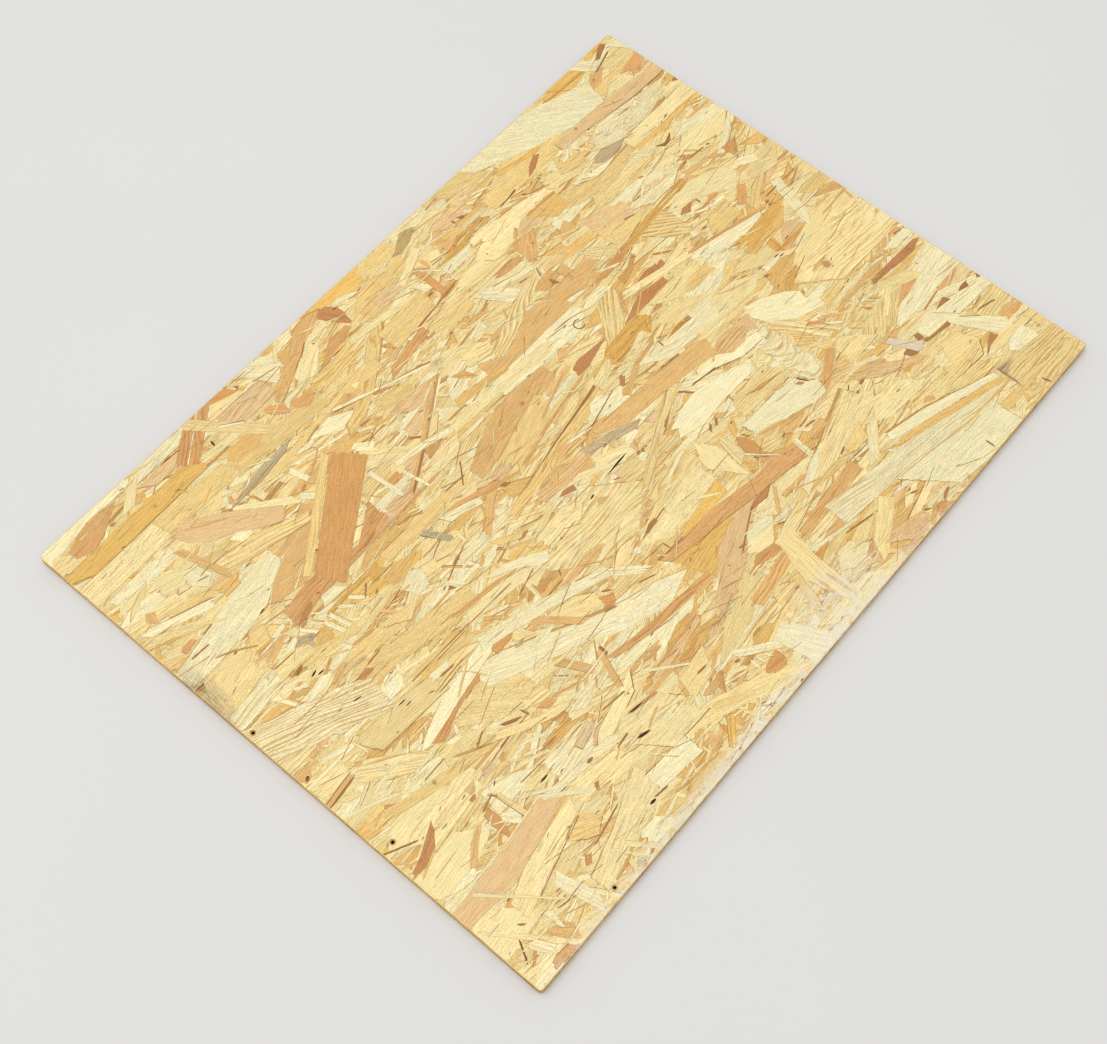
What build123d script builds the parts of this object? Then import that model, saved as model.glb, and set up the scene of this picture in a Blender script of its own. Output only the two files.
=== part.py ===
from build123d import *
from collections import namedtuple
import os

# A sawn piece of oriented strand board, lying flat. Millimetres.
# X runs along its long side, Y along its short side and Z up from its underside.
# The origin is under the middle of the board. Front is -Y, back is +Y, left is -X and right is +X.

# Overall size, saw cut to saw cut
board_length = 800.0
board_width = 600.0
board_thickness = 11.0

# Corners seen from above, each blunted by handling to its own radius
front_left_corner_radius = 3.5
front_right_corner_radius = 2.0
back_right_corner_radius = 4.5
back_left_corner_radius = 4.0

# Arrises: wear has rounded the upper ones more than the lower ones
upper_arris_radius = 0.8
lower_arris_radius = 0.4

# Nail holes: driven right through from above, each with its rim crushed in below the face
nail_hole_diameter = 3.2
crushed_rim_diameter = 5.6
crushed_rim_depth = 0.6

# Where each nail went in: the centre's distance from the left edge, from the end that it is
# nearer to, and which end that is
NailHole = namedtuple("NailHole", "from_left from_end end")
nail_holes = [
    NailHole(from_left=6.3, from_end=266.8, end="back"),
    NailHole(from_left=13.5, from_end=175.7, end="front"),
    NailHole(from_left=103.5, from_end=9.3, end="front"),
]

# Torn scar: a nail that was pulled out took a ragged plug of the face strand with it
scar_from_left = 7.0
scar_from_front = 268.3
scar_length = 5.4
scar_width = 3.6
scar_depth = 2.2
scar_turn = 35.0

# Open gaps between the face strands: pointed slots that lie along the strands beside them
StrandGap = namedtuple("StrandGap", "from_left from_end end length width depth turn")
strand_gaps = [
    StrandGap(from_left=79.0, from_end=269.0, end="back", length=8.5, width=1.8, depth=1.6, turn=14.0),
    StrandGap(from_left=84.0, from_end=272.8, end="back", length=8.0, width=1.7, depth=1.6, turn=-3.0),
    StrandGap(from_left=92.0, from_end=192.0, end="back", length=8.0, width=1.4, depth=0.9, turn=10.0),
    StrandGap(from_left=182.8, from_end=36.0, end="back", length=8.0, width=2.2, depth=1.0, turn=80.0),
    StrandGap(from_left=86.5, from_end=286.0, end="front", length=9.5, width=1.4, depth=0.9, turn=-14.0),
    StrandGap(from_left=109.0, from_end=254.0, end="front", length=9.0, width=1.3, depth=0.9, turn=-4.0),
    StrandGap(from_left=368.0, from_end=257.2, end="front", length=7.0, width=1.8, depth=2.0, turn=10.0),
    StrandGap(from_left=410.0, from_end=262.0, end="front", length=30.0, width=2.0, depth=2.4, turn=3.0),
    StrandGap(from_left=136.5, from_end=115.0, end="front", length=11.0, width=1.8, depth=1.2, turn=2.0),
    StrandGap(from_left=235.0, from_end=96.0, end="front", length=19.0, width=1.6, depth=1.2, turn=-8.0),
    StrandGap(from_left=221.0, from_end=75.6, end="front", length=13.0, width=3.0, depth=0.9, turn=-13.0),
    StrandGap(from_left=180.5, from_end=31.5, end="front", length=8.0, width=2.8, depth=1.8, turn=-4.0),
]


def on_face(from_left, from_end, end):
    """A point of the upper face, given from the left edge and from the front or back edge."""
    x = from_left - board_length / 2
    front_y = from_end - board_width / 2
    return Pos(x, front_y if end == "front" else -front_y, board_thickness)


def pointed_slot(length, width):
    """A slot's outline: two shallow arcs that meet in a point at each end."""
    tip = length / 2
    bulge = width / 2
    far_side = ThreePointArc((-tip, 0), (0, bulge), (tip, 0))
    near_side = ThreePointArc((tip, 0), (0, -bulge), (-tip, 0))
    return make_face(Curve() + [far_side, near_side])


def sawn_plate():
    """The plate between its four saw cuts, with blunted corners and worn arrises."""
    outline = Rectangle(board_length, board_width)
    corners = {
        (-1, -1): front_left_corner_radius,
        (1, -1): front_right_corner_radius,
        (1, 1): back_right_corner_radius,
        (-1, 1): back_left_corner_radius,
    }
    for (side_x, side_y), radius in corners.items():
        corner = Vector(side_x * board_length / 2, side_y * board_width / 2)
        outline = fillet(outline.vertices().sort_by_distance(corner)[0], radius)
    plate = extrude(outline, board_thickness)
    plate = fillet(plate.faces().sort_by(Axis.Z)[-1].edges(), upper_arris_radius)
    return fillet(plate.faces().sort_by(Axis.Z)[0].edges(), lower_arris_radius)


def nail_cutter():
    """What one nail leaves, hung from the face: a straight bore under a crushed cone."""
    bore = Pos(0, 0, -board_thickness / 2) * Cylinder(nail_hole_diameter / 2, board_thickness)
    crushed_rim = Pos(0, 0, -crushed_rim_depth / 2) * Cone(
        nail_hole_diameter / 2, crushed_rim_diameter / 2, crushed_rim_depth
    )
    return bore + crushed_rim


def board():
    """The whole board as one piece of stock."""
    plate = sawn_plate()
    for hole in nail_holes:
        plate -= on_face(hole.from_left, hole.from_end, hole.end) * nail_cutter()
    scar_place = on_face(scar_from_left, scar_from_front, "front") * Rot(0, 0, scar_turn)
    plate -= scar_place * extrude(Ellipse(scar_length / 2, scar_width / 2), -scar_depth)
    for gap in strand_gaps:
        place = on_face(gap.from_left, gap.from_end, gap.end) * Rot(0, 0, gap.turn)
        plate -= place * extrude(pointed_slot(gap.length, gap.width), -gap.depth)
    return plate


os.makedirs("parts", exist_ok=True)
export_step(board(), "parts/osb_board.step")
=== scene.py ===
import math
import random
from collections import namedtuple

import bpy
import numpy as np
from mathutils import Euler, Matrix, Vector
from mathutils.geometry import delaunay_2d_cdt


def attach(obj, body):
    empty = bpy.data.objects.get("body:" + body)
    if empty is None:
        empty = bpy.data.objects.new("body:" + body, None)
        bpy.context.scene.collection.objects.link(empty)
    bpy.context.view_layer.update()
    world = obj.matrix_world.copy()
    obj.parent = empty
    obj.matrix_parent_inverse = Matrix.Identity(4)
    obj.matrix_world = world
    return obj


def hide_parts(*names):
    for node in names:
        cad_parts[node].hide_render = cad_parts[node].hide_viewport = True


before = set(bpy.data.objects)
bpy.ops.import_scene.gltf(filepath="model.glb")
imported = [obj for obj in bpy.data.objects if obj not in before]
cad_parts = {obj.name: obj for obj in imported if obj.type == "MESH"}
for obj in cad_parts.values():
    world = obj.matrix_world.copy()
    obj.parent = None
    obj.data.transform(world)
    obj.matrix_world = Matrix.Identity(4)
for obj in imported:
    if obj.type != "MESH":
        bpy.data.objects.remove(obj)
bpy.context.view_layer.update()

# The board as the CAD has it, in millimetres: X along it, Y across it, Z up from its underside
LENGTH = 800.0
WIDTH = 600.0
THICKNESS = 11.0
CORNER_RADII = {(-1, -1): 3.5, (1, -1): 2.0, (1, 1): 4.5, (-1, 1): 4.0}
UPPER_ARRIS = 0.8
LOWER_ARRIS = 0.4
NAIL_HOLES = [(-393.7, 33.2), (-386.5, -124.3), (-296.5, -290.7)]
NAIL_HOLE_RADIUS = 1.6
CRUSHED_RIM_RADIUS = 2.8
CRUSHED_RIM_DEPTH = 0.6
SCAR_PLACE = (-393, -31.7)
SCAR_LENGTH = 5.4
SCAR_WIDTH = 3.6
SCAR_DEPTH = 2.2
SCAR_TURN = 35
MM = 0.001

# The face: its strands lie in a skin this deep, and meet the arrises at one level
SKIN_TOP = 10.97
SKIN_DEPTH = 0.42
FACE_EDGE_LEVEL = 10.84

# How far a strand's edge is drawn in to slope its step, and at most how much of the room there is
STEP_SLOPE = 0.16
STEP_ROOM = 0.3

# Wood tones, as red, green and blue out of 255
TONES = {
    "cream": (245, 236, 190),
    "pale straw": (245, 228, 170),
    "straw": (241, 220, 157),
    "gold straw": (236, 208, 138),
    "honey": (231, 191, 114),
    "gold": (235, 194, 106),
    "amber": (221, 176, 92),
    "orange": (215, 162, 94),
    "tan": (227, 186, 119),
    "pink tan": (232, 198, 144),
    "mauve tan": (228, 200, 152),
    "red tan": (220, 171, 108),
    "red brown": (194, 137, 84),
    "brown": (172, 122, 70),
    "dark brown": (118, 76, 46),
    "grey": (200, 180, 140),
    "blue grey": (184, 174, 138),
    "olive": (190, 166, 106),
    "ash": (222, 208, 178),
    "white": (244, 235, 191),
    "resin": (192, 142, 68),
    "shade": (202, 158, 90),
    # The near-black of open gaps and cracks, partly painted shade in their depth
    "gap": (70, 42, 26),
}

# How much darker or lighter than its tone a strand may be
LIGHT_SPREAD = (0.97, 1.025)

# Each strand's grain starts at a place of its own in the noise, up to this far along
NOISE_REACH = 90

# How clear the growth rings of plain wood are, and from where on they count as bold
PLAIN_RIBS = (0.1, 0.5)
BOLD_RIBS = 0.8

# How far apart the rings of plain and of boldly ribbed wood lie: the least, the most and the usual
PLAIN_SPACING = (1.7, 4.4, 2.4)
BOLD_SPACING = (2.6, 4.8, 3.4)


def linear(tone, light=1.0):
    """A named tone as linear colour, made lighter or darker."""
    parts = [min(part / 255 * light, 1.0) for part in TONES[tone]]
    return [part / 12.92 if part <= 0.04045 else ((part + 0.055) / 1.055) ** 2.4 for part in parts]


class Strand:
    """One flat strand: its outline in millimetres, its wood, and how far it lies below its neighbours."""

    def __init__(
        self, rng, outline, tone, turn, centre,
        ribs=None, spacing=None, curl=0.0, bend=0.0, sunk=0.0, kind="wood",
    ):
        self.outline = np.array(outline, float)
        self.low = self.outline.min(axis=0)
        self.high = self.outline.max(axis=0)
        self.turn = math.radians(turn)
        self.centre = centre
        self.bend = bend
        self.sunk = sunk
        self.kind = kind
        self.seed = rng.uniform(0, NOISE_REACH)
        self.colour = linear(tone, rng.uniform(*LIGHT_SPREAD))
        ribs = rng.uniform(*PLAIN_RIBS) if ribs is None else ribs
        usual = rng.triangular(*(PLAIN_SPACING if ribs < BOLD_RIBS else BOLD_SPACING))
        self.figure = (ribs, spacing or usual, curl)

    def area(self):
        """The outline's area."""
        x, y = self.outline.T
        return abs(np.dot(x, np.roll(y, -1)) - np.dot(y, np.roll(x, -1))) / 2

    def grain_at(self, places):
        """How far along and across the grain each place lies."""
        x = places[:, 0] - self.centre[0]
        y = places[:, 1] - self.centre[1]
        along = x * math.cos(self.turn) + y * math.sin(self.turn)
        across = y * math.cos(self.turn) - x * math.sin(self.turn) - self.bend * along**2
        return np.stack([along, across, np.full(len(places), self.seed)], axis=1)


def of_kind(strands, kind):
    """Which strands are of a kind: wood, pit, rim or hole."""
    return np.array([strand.kind == kind for strand in strands])


def drawn(rng, weights):
    """One name drawn by its weight."""
    return rng.choices(list(weights), list(weights.values()))[0]


def placed(points, centre, turn):
    """The same points, turned and then moved to a centre."""
    cos, sin = math.cos(turn), math.sin(turn)
    return [(centre[0] + x * cos - y * sin, centre[1] + x * sin + y * cos) for x, y in points]


# Sides that run more than this share across the grain are torn into teeth
TORN_FROM = 0.25
TOOTH_PITCH = 1.9
TOOTH_DEPTH = 1.5

# How often and how far a side along the grain wanders
WANDER_PITCH = 15
WANDER = 0.22


def worn_line(rng, points, turn, ragged=1.0):
    """A closed outline whose sides along the grain wander a little and whose sides across it are torn."""
    worn = []
    cos, sin = math.cos(turn), math.sin(turn)
    for (ax, ay), (bx, by) in zip(points, points[1:] + points[:1]):
        worn.append((ax, ay))
        length = max(math.hypot(bx - ax, by - ay), 0.001)
        across_grain = max(abs((bx - ax) * sin - (by - ay) * cos) / length - TORN_FROM, 0)
        stretches = max(1, round(length * across_grain / TOOTH_PITCH + length / WANDER_PITCH))
        for step in range(1, stretches):
            share = (step + rng.uniform(-0.3, 0.3)) / stretches
            slip = rng.gauss(0, WANDER)
            torn = rng.gauss(0, TOOTH_DEPTH) * across_grain * ragged
            x = ax + (bx - ax) * share - (by - ay) / length * slip + cos * torn
            y = ay + (by - ay) * share + (bx - ax) / length * slip + sin * torn
            worn.append((x, y))
    return worn


# How often each manner of end is drawn. Strands narrower than twice SLIVER always end in a point
END_MANNERS = {"cut": 3, "slanted": 5, "pointed": 5, "splintered": 5}
SLIVER = 1.6
SPLINTER_WIDTH = 1.4


def broken_end(rng, reach, half_width, manner):
    """The points of a strand's end, from its lower edge to its upper edge."""
    width = 2 * half_width
    if half_width < SLIVER or manner == "pointed":
        tip = rng.uniform(-0.7, 0.7) * half_width
        low, high = (min(rng.uniform(0.5, 1.9) * width + 1, reach * 0.6) for _ in range(2))
        return [(reach - low, -half_width), (reach, tip), (reach - high, half_width)]
    skew = rng.gauss(0, 0.25) * half_width
    if manner == "cut":
        return [(reach - skew, -half_width), (reach + skew, half_width)]
    if manner == "slanted":
        skew = rng.choice((-1, 1)) * rng.uniform(0.5, 1.6) * half_width
        return [(reach - abs(skew) - skew, -half_width), (reach - abs(skew) + skew, half_width)]
    depth = min(2.0 + half_width * rng.uniform(0.3, 1.1), reach * 0.35)
    count = max(2, round(half_width / SPLINTER_WIDTH))
    stops = sorted(rng.uniform(-0.93, 0.93) for _ in range(count))
    points = [(reach - rng.uniform(0, 0.8) * depth, -half_width)]
    for number, stop in enumerate(stops):
        inward = rng.uniform(0.3, 1.0) * depth if number % 2 else rng.uniform(0, 0.5) * depth
        points.append((reach - inward + skew * stop, stop * half_width))
    points.append((reach - rng.uniform(0, 0.8) * depth, half_width))
    return points


def strip(rng, tone, start, end, width, taper=1.0, bend=0.0, ends=None, **wood):
    """A strand along a line. Its end is `taper` times as wide as its start, its middle `bend` mm aside."""
    length = math.hypot(end[0] - start[0], end[1] - start[1])
    turn = math.atan2(end[1] - start[1], end[0] - start[0])
    centre = ((start[0] + end[0]) / 2, (start[1] + end[1]) / 2)
    reach = length / 2
    half = width / 2
    right = broken_end(rng, reach, half, ends or drawn(rng, END_MANNERS))
    left = [(-x, -y) for x, y in broken_end(rng, reach, half, ends or drawn(rng, END_MANNERS))]
    curve = -4 * bend / length**2
    outline = []
    for x, y in worn_line(rng, right + left, 0.0, 0.0 if ends == "cut" else 0.5):
        y *= 1 + (taper - 1) * (x + reach) / length
        outline.append((x, y + curve * (x * x - reach * reach)))
    return Strand(rng, placed(outline, centre, turn), tone, math.degrees(turn), centre, bend=curve, **wood)


def shape(rng, tone, points, turn=None, ragged=0.6, centre=None, **wood):
    """A strand with an outline of its own. Its grain follows its longest reach unless `turn` is given."""
    centre = np.mean(points, axis=0) if centre is None else centre
    if turn is None:
        axes = np.linalg.eigh(np.cov((np.array(points) - centre).T))[1]
        turn = math.degrees(math.atan2(axes[1, 1], axes[0, 1]))
    outline = worn_line(rng, points, math.radians(turn), ragged)
    return Strand(rng, outline, tone, turn, tuple(centre), **wood)


ARC_STEPS = 6


def pointed_slot(rng, x, y, length, width, depth, turn):
    """An open gap between strands, as the CAD has it: two shallow arcs that meet in a point at each end.
    Its near-black tone is partly painted shade in the gap.
    """
    outline = []
    for side in (1, -1):
        for step in range(ARC_STEPS):
            along = side * length * (step / ARC_STEPS - 0.5)
            across = -side * width / 2 * (1 - (2 * along / length) ** 2)
            outline.append((along, across))
    outline = placed(outline, (x, y), math.radians(turn))
    return Strand(rng, outline, "gap", turn, (x, y), ribs=0.2, sunk=depth, kind="pit")


def ring(centre, radius, sides=20, squeeze=1.0, turn=0.0):
    """A round or oval outline."""
    angles = [2 * math.pi * side / sides for side in range(sides)]
    points = [(radius * math.cos(angle), radius * squeeze * math.sin(angle)) for angle in angles]
    return placed(points, centre, turn)


# Laying up: what shows of strands that lie over one another

# Edges that may cross are looked for in square cells of this size, each with a number of its own
CELL = 12.0
COLUMN_CODE = 100003

# Points nearer than this are one point, and triangles smaller than this are none
MERGE_DISTANCE = 0.0005
NO_AREA = 1e-9


def cross(first, second):
    """Twice the area between two steps, negative where the second turns clockwise from the first."""
    return first[..., 0] * second[..., 1] - first[..., 1] * second[..., 0]


def inside(places, outline):
    """Which places lie inside a closed outline."""
    x, y = places[:, 0], places[:, 1]
    result = np.zeros(len(places), bool)
    ax, ay = outline[-1]
    for bx, by in outline:
        if ay != by:
            result ^= ((ay > y) != (by > y)) & (x < (bx - ax) * (y - ay) / (by - ay) + ax)
        ax, ay = bx, by
    return result


def strand_over(places, strands, trim, skip=None):
    """The number of the highest strand over each place. Outside the trim line it is one past the last."""
    order = np.argsort(places[:, 0])
    sorted_x = places[order, 0]
    highest = np.full(len(places), -1)
    for number, strand in enumerate(strands):
        first, last = np.searchsorted(sorted_x, [strand.low[0], strand.high[0]])
        near = order[first:last]
        near = near[(places[near, 1] > strand.low[1]) & (places[near, 1] < strand.high[1])]
        if skip is not None:
            near = near[(skip[near] != number).all(axis=1)]
        if len(near):
            highest[near[inside(places[near], strand.outline)]] = number
    outside = ~inside(places, trim)
    if skip is not None:
        outside &= (skip != len(strands)).all(axis=1)
    highest[outside] = len(strands)
    return highest


def crossings(start, end, owner):
    """Where edges of different strands cross: the two edges, and the share along each."""
    low = np.floor(np.minimum(start, end) / CELL).astype(int)
    span = np.floor(np.maximum(start, end) / CELL).astype(int) - low + 1
    counts = span[:, 0] * span[:, 1]
    edge = np.repeat(np.arange(len(start)), counts)
    place = np.arange(counts.sum()) - np.repeat(np.cumsum(counts) - counts, counts)
    cell_x = low[edge, 0] + place % span[edge, 0]
    cell_y = low[edge, 1] + place // span[edge, 0]
    code = cell_x * COLUMN_CODE + cell_y
    order = np.argsort(code, kind="stable")
    edge, code = edge[order], code[order]
    pairs = []
    offset = 1
    while True:
        same = code[offset:] == code[:-offset]
        if not same.any():
            break
        a, b = edge[:-offset][same], edge[offset:][same]
        differ = owner[a] != owner[b]
        pairs.append(np.stack([np.minimum(a, b)[differ], np.maximum(a, b)[differ]], axis=1))
        offset += 1
    a, b = np.unique(np.concatenate(pairs), axis=0).T
    first, second, between = end[a] - start[a], end[b] - start[b], start[b] - start[a]
    spread = cross(first, second)
    spread[spread == 0] = np.inf
    along_a = cross(between, second) / spread
    along_b = cross(between, first) / spread
    hit = (along_a > 0) & (along_a < 1) & (along_b > 0) & (along_b < 1)
    return a[hit], b[hit], along_a[hit], along_b[hit]


def outline_edges(outlines):
    """Every edge of these outlines: its two ends, its outline's number and the edge that follows it."""
    start = np.concatenate(outlines)
    end = np.concatenate([np.roll(outline, -1, axis=0) for outline in outlines])
    sizes = np.array([len(outline) for outline in outlines])
    owner = np.repeat(np.arange(len(outlines)), sizes)
    following = np.arange(len(start)) + 1
    following[np.cumsum(sizes) - 1] -= sizes
    return start, end, owner, following


def edges_that_show(strands, trim):
    """The stretches of the strands' edges that no higher strand hides: places, and which two each joins."""
    start, end, owner, following = outline_edges([strand.outline for strand in strands] + [trim])
    a, b, along_a, along_b = crossings(start, end, owner)
    places = start[a] + (end[a] - start[a]) * along_a[:, None]
    crossed = np.stack([owner[a], owner[b]], axis=1)
    seen = strand_over(places, strands, trim, crossed) < crossed.min(axis=1)
    a, b, along_a, along_b, places = a[seen], b[seen], along_a[seen], along_b[seen], places[seen]
    count = len(start)
    crossing = count + np.arange(len(a))
    edge = np.concatenate([np.arange(count), np.arange(count), a, b])
    along = np.concatenate([np.zeros(count), np.ones(count), along_a, along_b])
    corner = np.concatenate([np.arange(count), following, crossing, crossing])
    order = np.lexsort([along, edge])
    edge, corner = edge[order], corner[order]
    places = np.concatenate([start, places])
    same = edge[1:] == edge[:-1]
    first, last, edge = corner[:-1][same], corner[1:][same], edge[:-1][same]
    middle = (places[first] + places[last]) / 2
    shows = strand_over(middle, strands, trim, owner[edge][:, None]) < owner[edge]
    used, joins = np.unique(np.stack([first[shows], last[shows]], axis=1), return_inverse=True)
    return places[used], joins.reshape(-1, 2)


def lay_up(strands, trim, cuts):
    """The flat triangles of what shows: places, triangles and the strand that each triangle belongs to."""
    places, joins = edges_that_show(strands, trim)
    points = [Vector(place) for place in places.tolist()]
    lines = [tuple(pair) for pair in joins.tolist()]
    for cut_start, cut_end in cuts:
        lines.append((len(points), len(points) + 1))
        points += [Vector(cut_start), Vector(cut_end)]
    result = delaunay_2d_cdt(points, lines, [], 0, MERGE_DISTANCE, False)
    places = np.array([tuple(point) for point in result[0]])
    triangles = np.array([face for face in result[2] if len(face) == 3])
    a, b, c = (places[triangles[:, k]] for k in range(3))
    size = cross(b - a, c - a)
    triangles[size < 0] = triangles[size < 0][:, ::-1]
    top = strand_over((a + b + c) / 3, strands, trim)
    keep = (top < len(strands)) & (np.abs(size) > NO_AREA)
    return places, triangles[keep], top[keep]


class Skin:
    """The relief over a flat layup: each strand at its own level, with a sloped step to the one below."""

    def __init__(self, places, triangles, top, level, slope=STEP_SLOPE):
        kinds = len(level) + 1
        pair = triangles.ravel().astype(np.int64) * kinds + np.repeat(top, 3)
        pairs, number = np.unique(pair, return_inverse=True)
        self.place_of = pairs // kinds
        self.strand_of = pairs % kinds
        self.faces = number.reshape(-1, 3)
        self.face_strand = top
        self.flat = places[self.place_of].copy()
        self.level = level[self.strand_of].copy()
        self.steps, self.rim = self.find_edges(triangles)
        self.draw_in(slope)
        self.caps = self.corner_caps()

    def find_edges(self, triangles):
        """The edges between two strands, as corners on each side, and the edges with one side only."""
        start = triangles.ravel()
        end = np.roll(triangles, -1, axis=1).ravel()
        left = self.faces.ravel()
        right = np.roll(self.faces, -1, axis=1).ravel()
        strand = np.repeat(self.face_strand, 3)
        size = int(start.max()) + 1
        forward = start.astype(np.int64) * size + end
        backward = end.astype(np.int64) * size + start
        order = np.argsort(forward)
        slot = np.searchsorted(forward[order], backward)
        twin = order[np.minimum(slot, len(order) - 1)]
        paired = forward[twin] == backward
        differ = paired & (strand > strand[twin])
        steps = np.stack([left[differ], right[differ], right[twin[differ]], left[twin[differ]]], axis=1)
        return steps, np.stack([left[~paired], right[~paired]], axis=1)

    def draw_in(self, slope):
        """Draws each upper strand's edge in a little, so that its step slopes and none stands straight."""
        a, b, c = (self.flat[self.faces[:, k]] for k in range(3))
        area = np.abs(cross(b - a, c - a))
        sides = [((b - a) ** 2).sum(1), ((c - b) ** 2).sum(1), ((a - c) ** 2).sum(1)]
        longest = np.sqrt(np.max(sides, axis=0))
        room = np.full(len(self.flat), np.inf)
        for k in range(3):
            np.minimum.at(room, self.faces[:, k], area / longest)
        inward = np.zeros_like(self.flat)
        run = self.flat[self.steps[:, 1]] - self.flat[self.steps[:, 0]]
        normal = np.stack([-run[:, 1], run[:, 0]], axis=1) / np.linalg.norm(run, axis=1)[:, None]
        for k in (0, 1):
            np.add.at(inward, self.steps[:, k], normal)
        length = np.linalg.norm(inward, axis=1)
        length[length == 0] = 1
        on_rim = np.zeros(len(self.flat), bool)
        on_rim[self.rim.ravel()] = True
        reach = np.where(on_rim, 0, np.minimum(slope, STEP_ROOM * room))
        self.flat += inward / length[:, None] * reach[:, None]

    def corner_caps(self):
        """Small caps where three strands meet."""
        around = {}
        for upper_start, upper_end, lower_end, lower_start in self.steps.tolist():
            around.setdefault(int(self.place_of[upper_start]), []).append((upper_start, lower_start))
            around.setdefault(int(self.place_of[upper_end]), []).append((upper_end, lower_end))
        caps = []
        for pairs in around.values():
            corners = sorted({corner for pair in pairs for corner in pair})
            if len(pairs) >= 3 and len(corners) == 3:
                a, b, c = (self.flat[corner] for corner in corners)
                caps.append(corners if cross(b - a, c - a) > 0 else corners[::-1])
        return np.array(caps, int).reshape(-1, 3)


# How much a strand tips, how far that may lift or sink its ends, and how far a crushed rim starts down
TIP_SLOPE = 0.0016
TIP_LIMIT = 0.07
RIM_DROP = 0.1


def relief(skin, strands):
    """A face's heights: strands tip a little, pits are flat and crushed rims slope down to their holes."""
    tilt = np.random.default_rng(len(strands)).normal(0, TIP_SLOPE, (len(strands), 2))
    centres = np.array([strand.centre for strand in strands])
    away = skin.flat - centres[skin.strand_of]
    tip = np.clip((away * tilt[skin.strand_of]).sum(axis=1), -TIP_LIMIT, TIP_LIMIT)
    pits = of_kind(strands, "pit")[skin.strand_of]
    height = np.where(pits, skin.level, np.minimum(skin.level + tip, SKIN_TOP))
    rims = of_kind(strands, "rim")[skin.strand_of]
    reach = np.linalg.norm(away, axis=1)
    slope = (CRUSHED_RIM_RADIUS - reach) / (CRUSHED_RIM_RADIUS - NAIL_HOLE_RADIUS)
    return np.where(rims, SKIN_TOP - RIM_DROP - CRUSHED_RIM_DEPTH * np.clip(slope, 0, 1), height)


CORNER_STEPS = 6


class Rim:
    """The board's outline, as distance run anticlockwise from its front left corner."""

    def __init__(self):
        outer, inward = [], []
        for side_x, side_y in ((-1, -1), (1, -1), (1, 1), (-1, 1)):
            radius = CORNER_RADII[side_x, side_y]
            centre_x = side_x * (LENGTH / 2 - radius)
            centre_y = side_y * (WIDTH / 2 - radius)
            first = math.atan2(side_y, side_x) - math.pi / 4
            for step in range(CORNER_STEPS + 1):
                angle = first + math.pi / 2 * step / CORNER_STEPS
                outer.append((centre_x + radius * math.cos(angle), centre_y + radius * math.sin(angle)))
                inward.append((-math.cos(angle), -math.sin(angle)))
        self.outer = np.array(outer + outer[:1])
        self.inward = np.array(inward + inward[:1])
        self.run = np.concatenate([[0], np.cumsum(np.linalg.norm(np.diff(self.outer, axis=0), axis=1))])
        self.length = self.run[-1]
        starts = range(0, len(outer), CORNER_STEPS + 1)
        self.corner_middles = [(self.run[k] + self.run[k + CORNER_STEPS]) / 2 for k in starts]

    def inset(self, distance):
        """The outline drawn in by a distance."""
        return (self.outer + self.inward * distance)[:-1]

    def place(self, run, inset):
        """The place after a run along the outline, drawn in by `inset`, which may differ between places."""
        base = np.stack([np.interp(run, self.run, self.outer[:, k]) for k in (0, 1)], axis=1)
        inward = np.stack([np.interp(run, self.run, self.inward[:, k]) for k in (0, 1)], axis=1)
        return base + inward * np.asarray(inset)[..., None]

    def run_at(self, places, inset=0):
        """How far along the outline each place on its inset line is."""
        line = self.outer + self.inward * inset
        start, step = line[:-1], np.diff(line, axis=0)
        away = places[:, None, :] - start[None]
        share = np.clip((away * step).sum(axis=2) / (step**2).sum(axis=1), 0, 1)
        miss = np.linalg.norm(away - share[..., None] * step, axis=2)
        nearest = miss.argmin(axis=1)
        share = share[np.arange(len(places)), nearest]
        return self.run[nearest] + share * np.diff(self.run)[nearest]


rim = Rim()

# Which material a triangle has, and which part of its block's map
FACE_WOOD, EDGE_WOOD, TORN_WOOD_AND_SHADE = 0, 1, 2
TOP_CHART, EDGE_CHART, UNDER_CHART = 0, 1, 2


class Surface:
    """Gathers the triangles of the whole board, with what each of them and each of its corners carries."""

    def __init__(self):
        self.parts = []
        self.count = 0

    def add(self, points, grain, chart_at, faces, colour, figure, finish, chart):
        """Adds triangles that share these points."""
        self.parts.append(
            {
                "points": points,
                "grain": grain,
                "chart_at": chart_at,
                "faces": faces + self.count,
                "colour": np.broadcast_to(colour, (len(faces), 3)),
                "figure": np.broadcast_to(figure, (len(faces), 3)),
                "finish": np.broadcast_to(finish, len(faces)),
                "chart": np.full(len(faces), chart),
            }
        )
        self.count += len(points)

    def joined(self):
        """All of it in one set of arrays."""
        return {name: np.concatenate([part[name] for part in self.parts]) for name in self.parts[0]}


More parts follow.
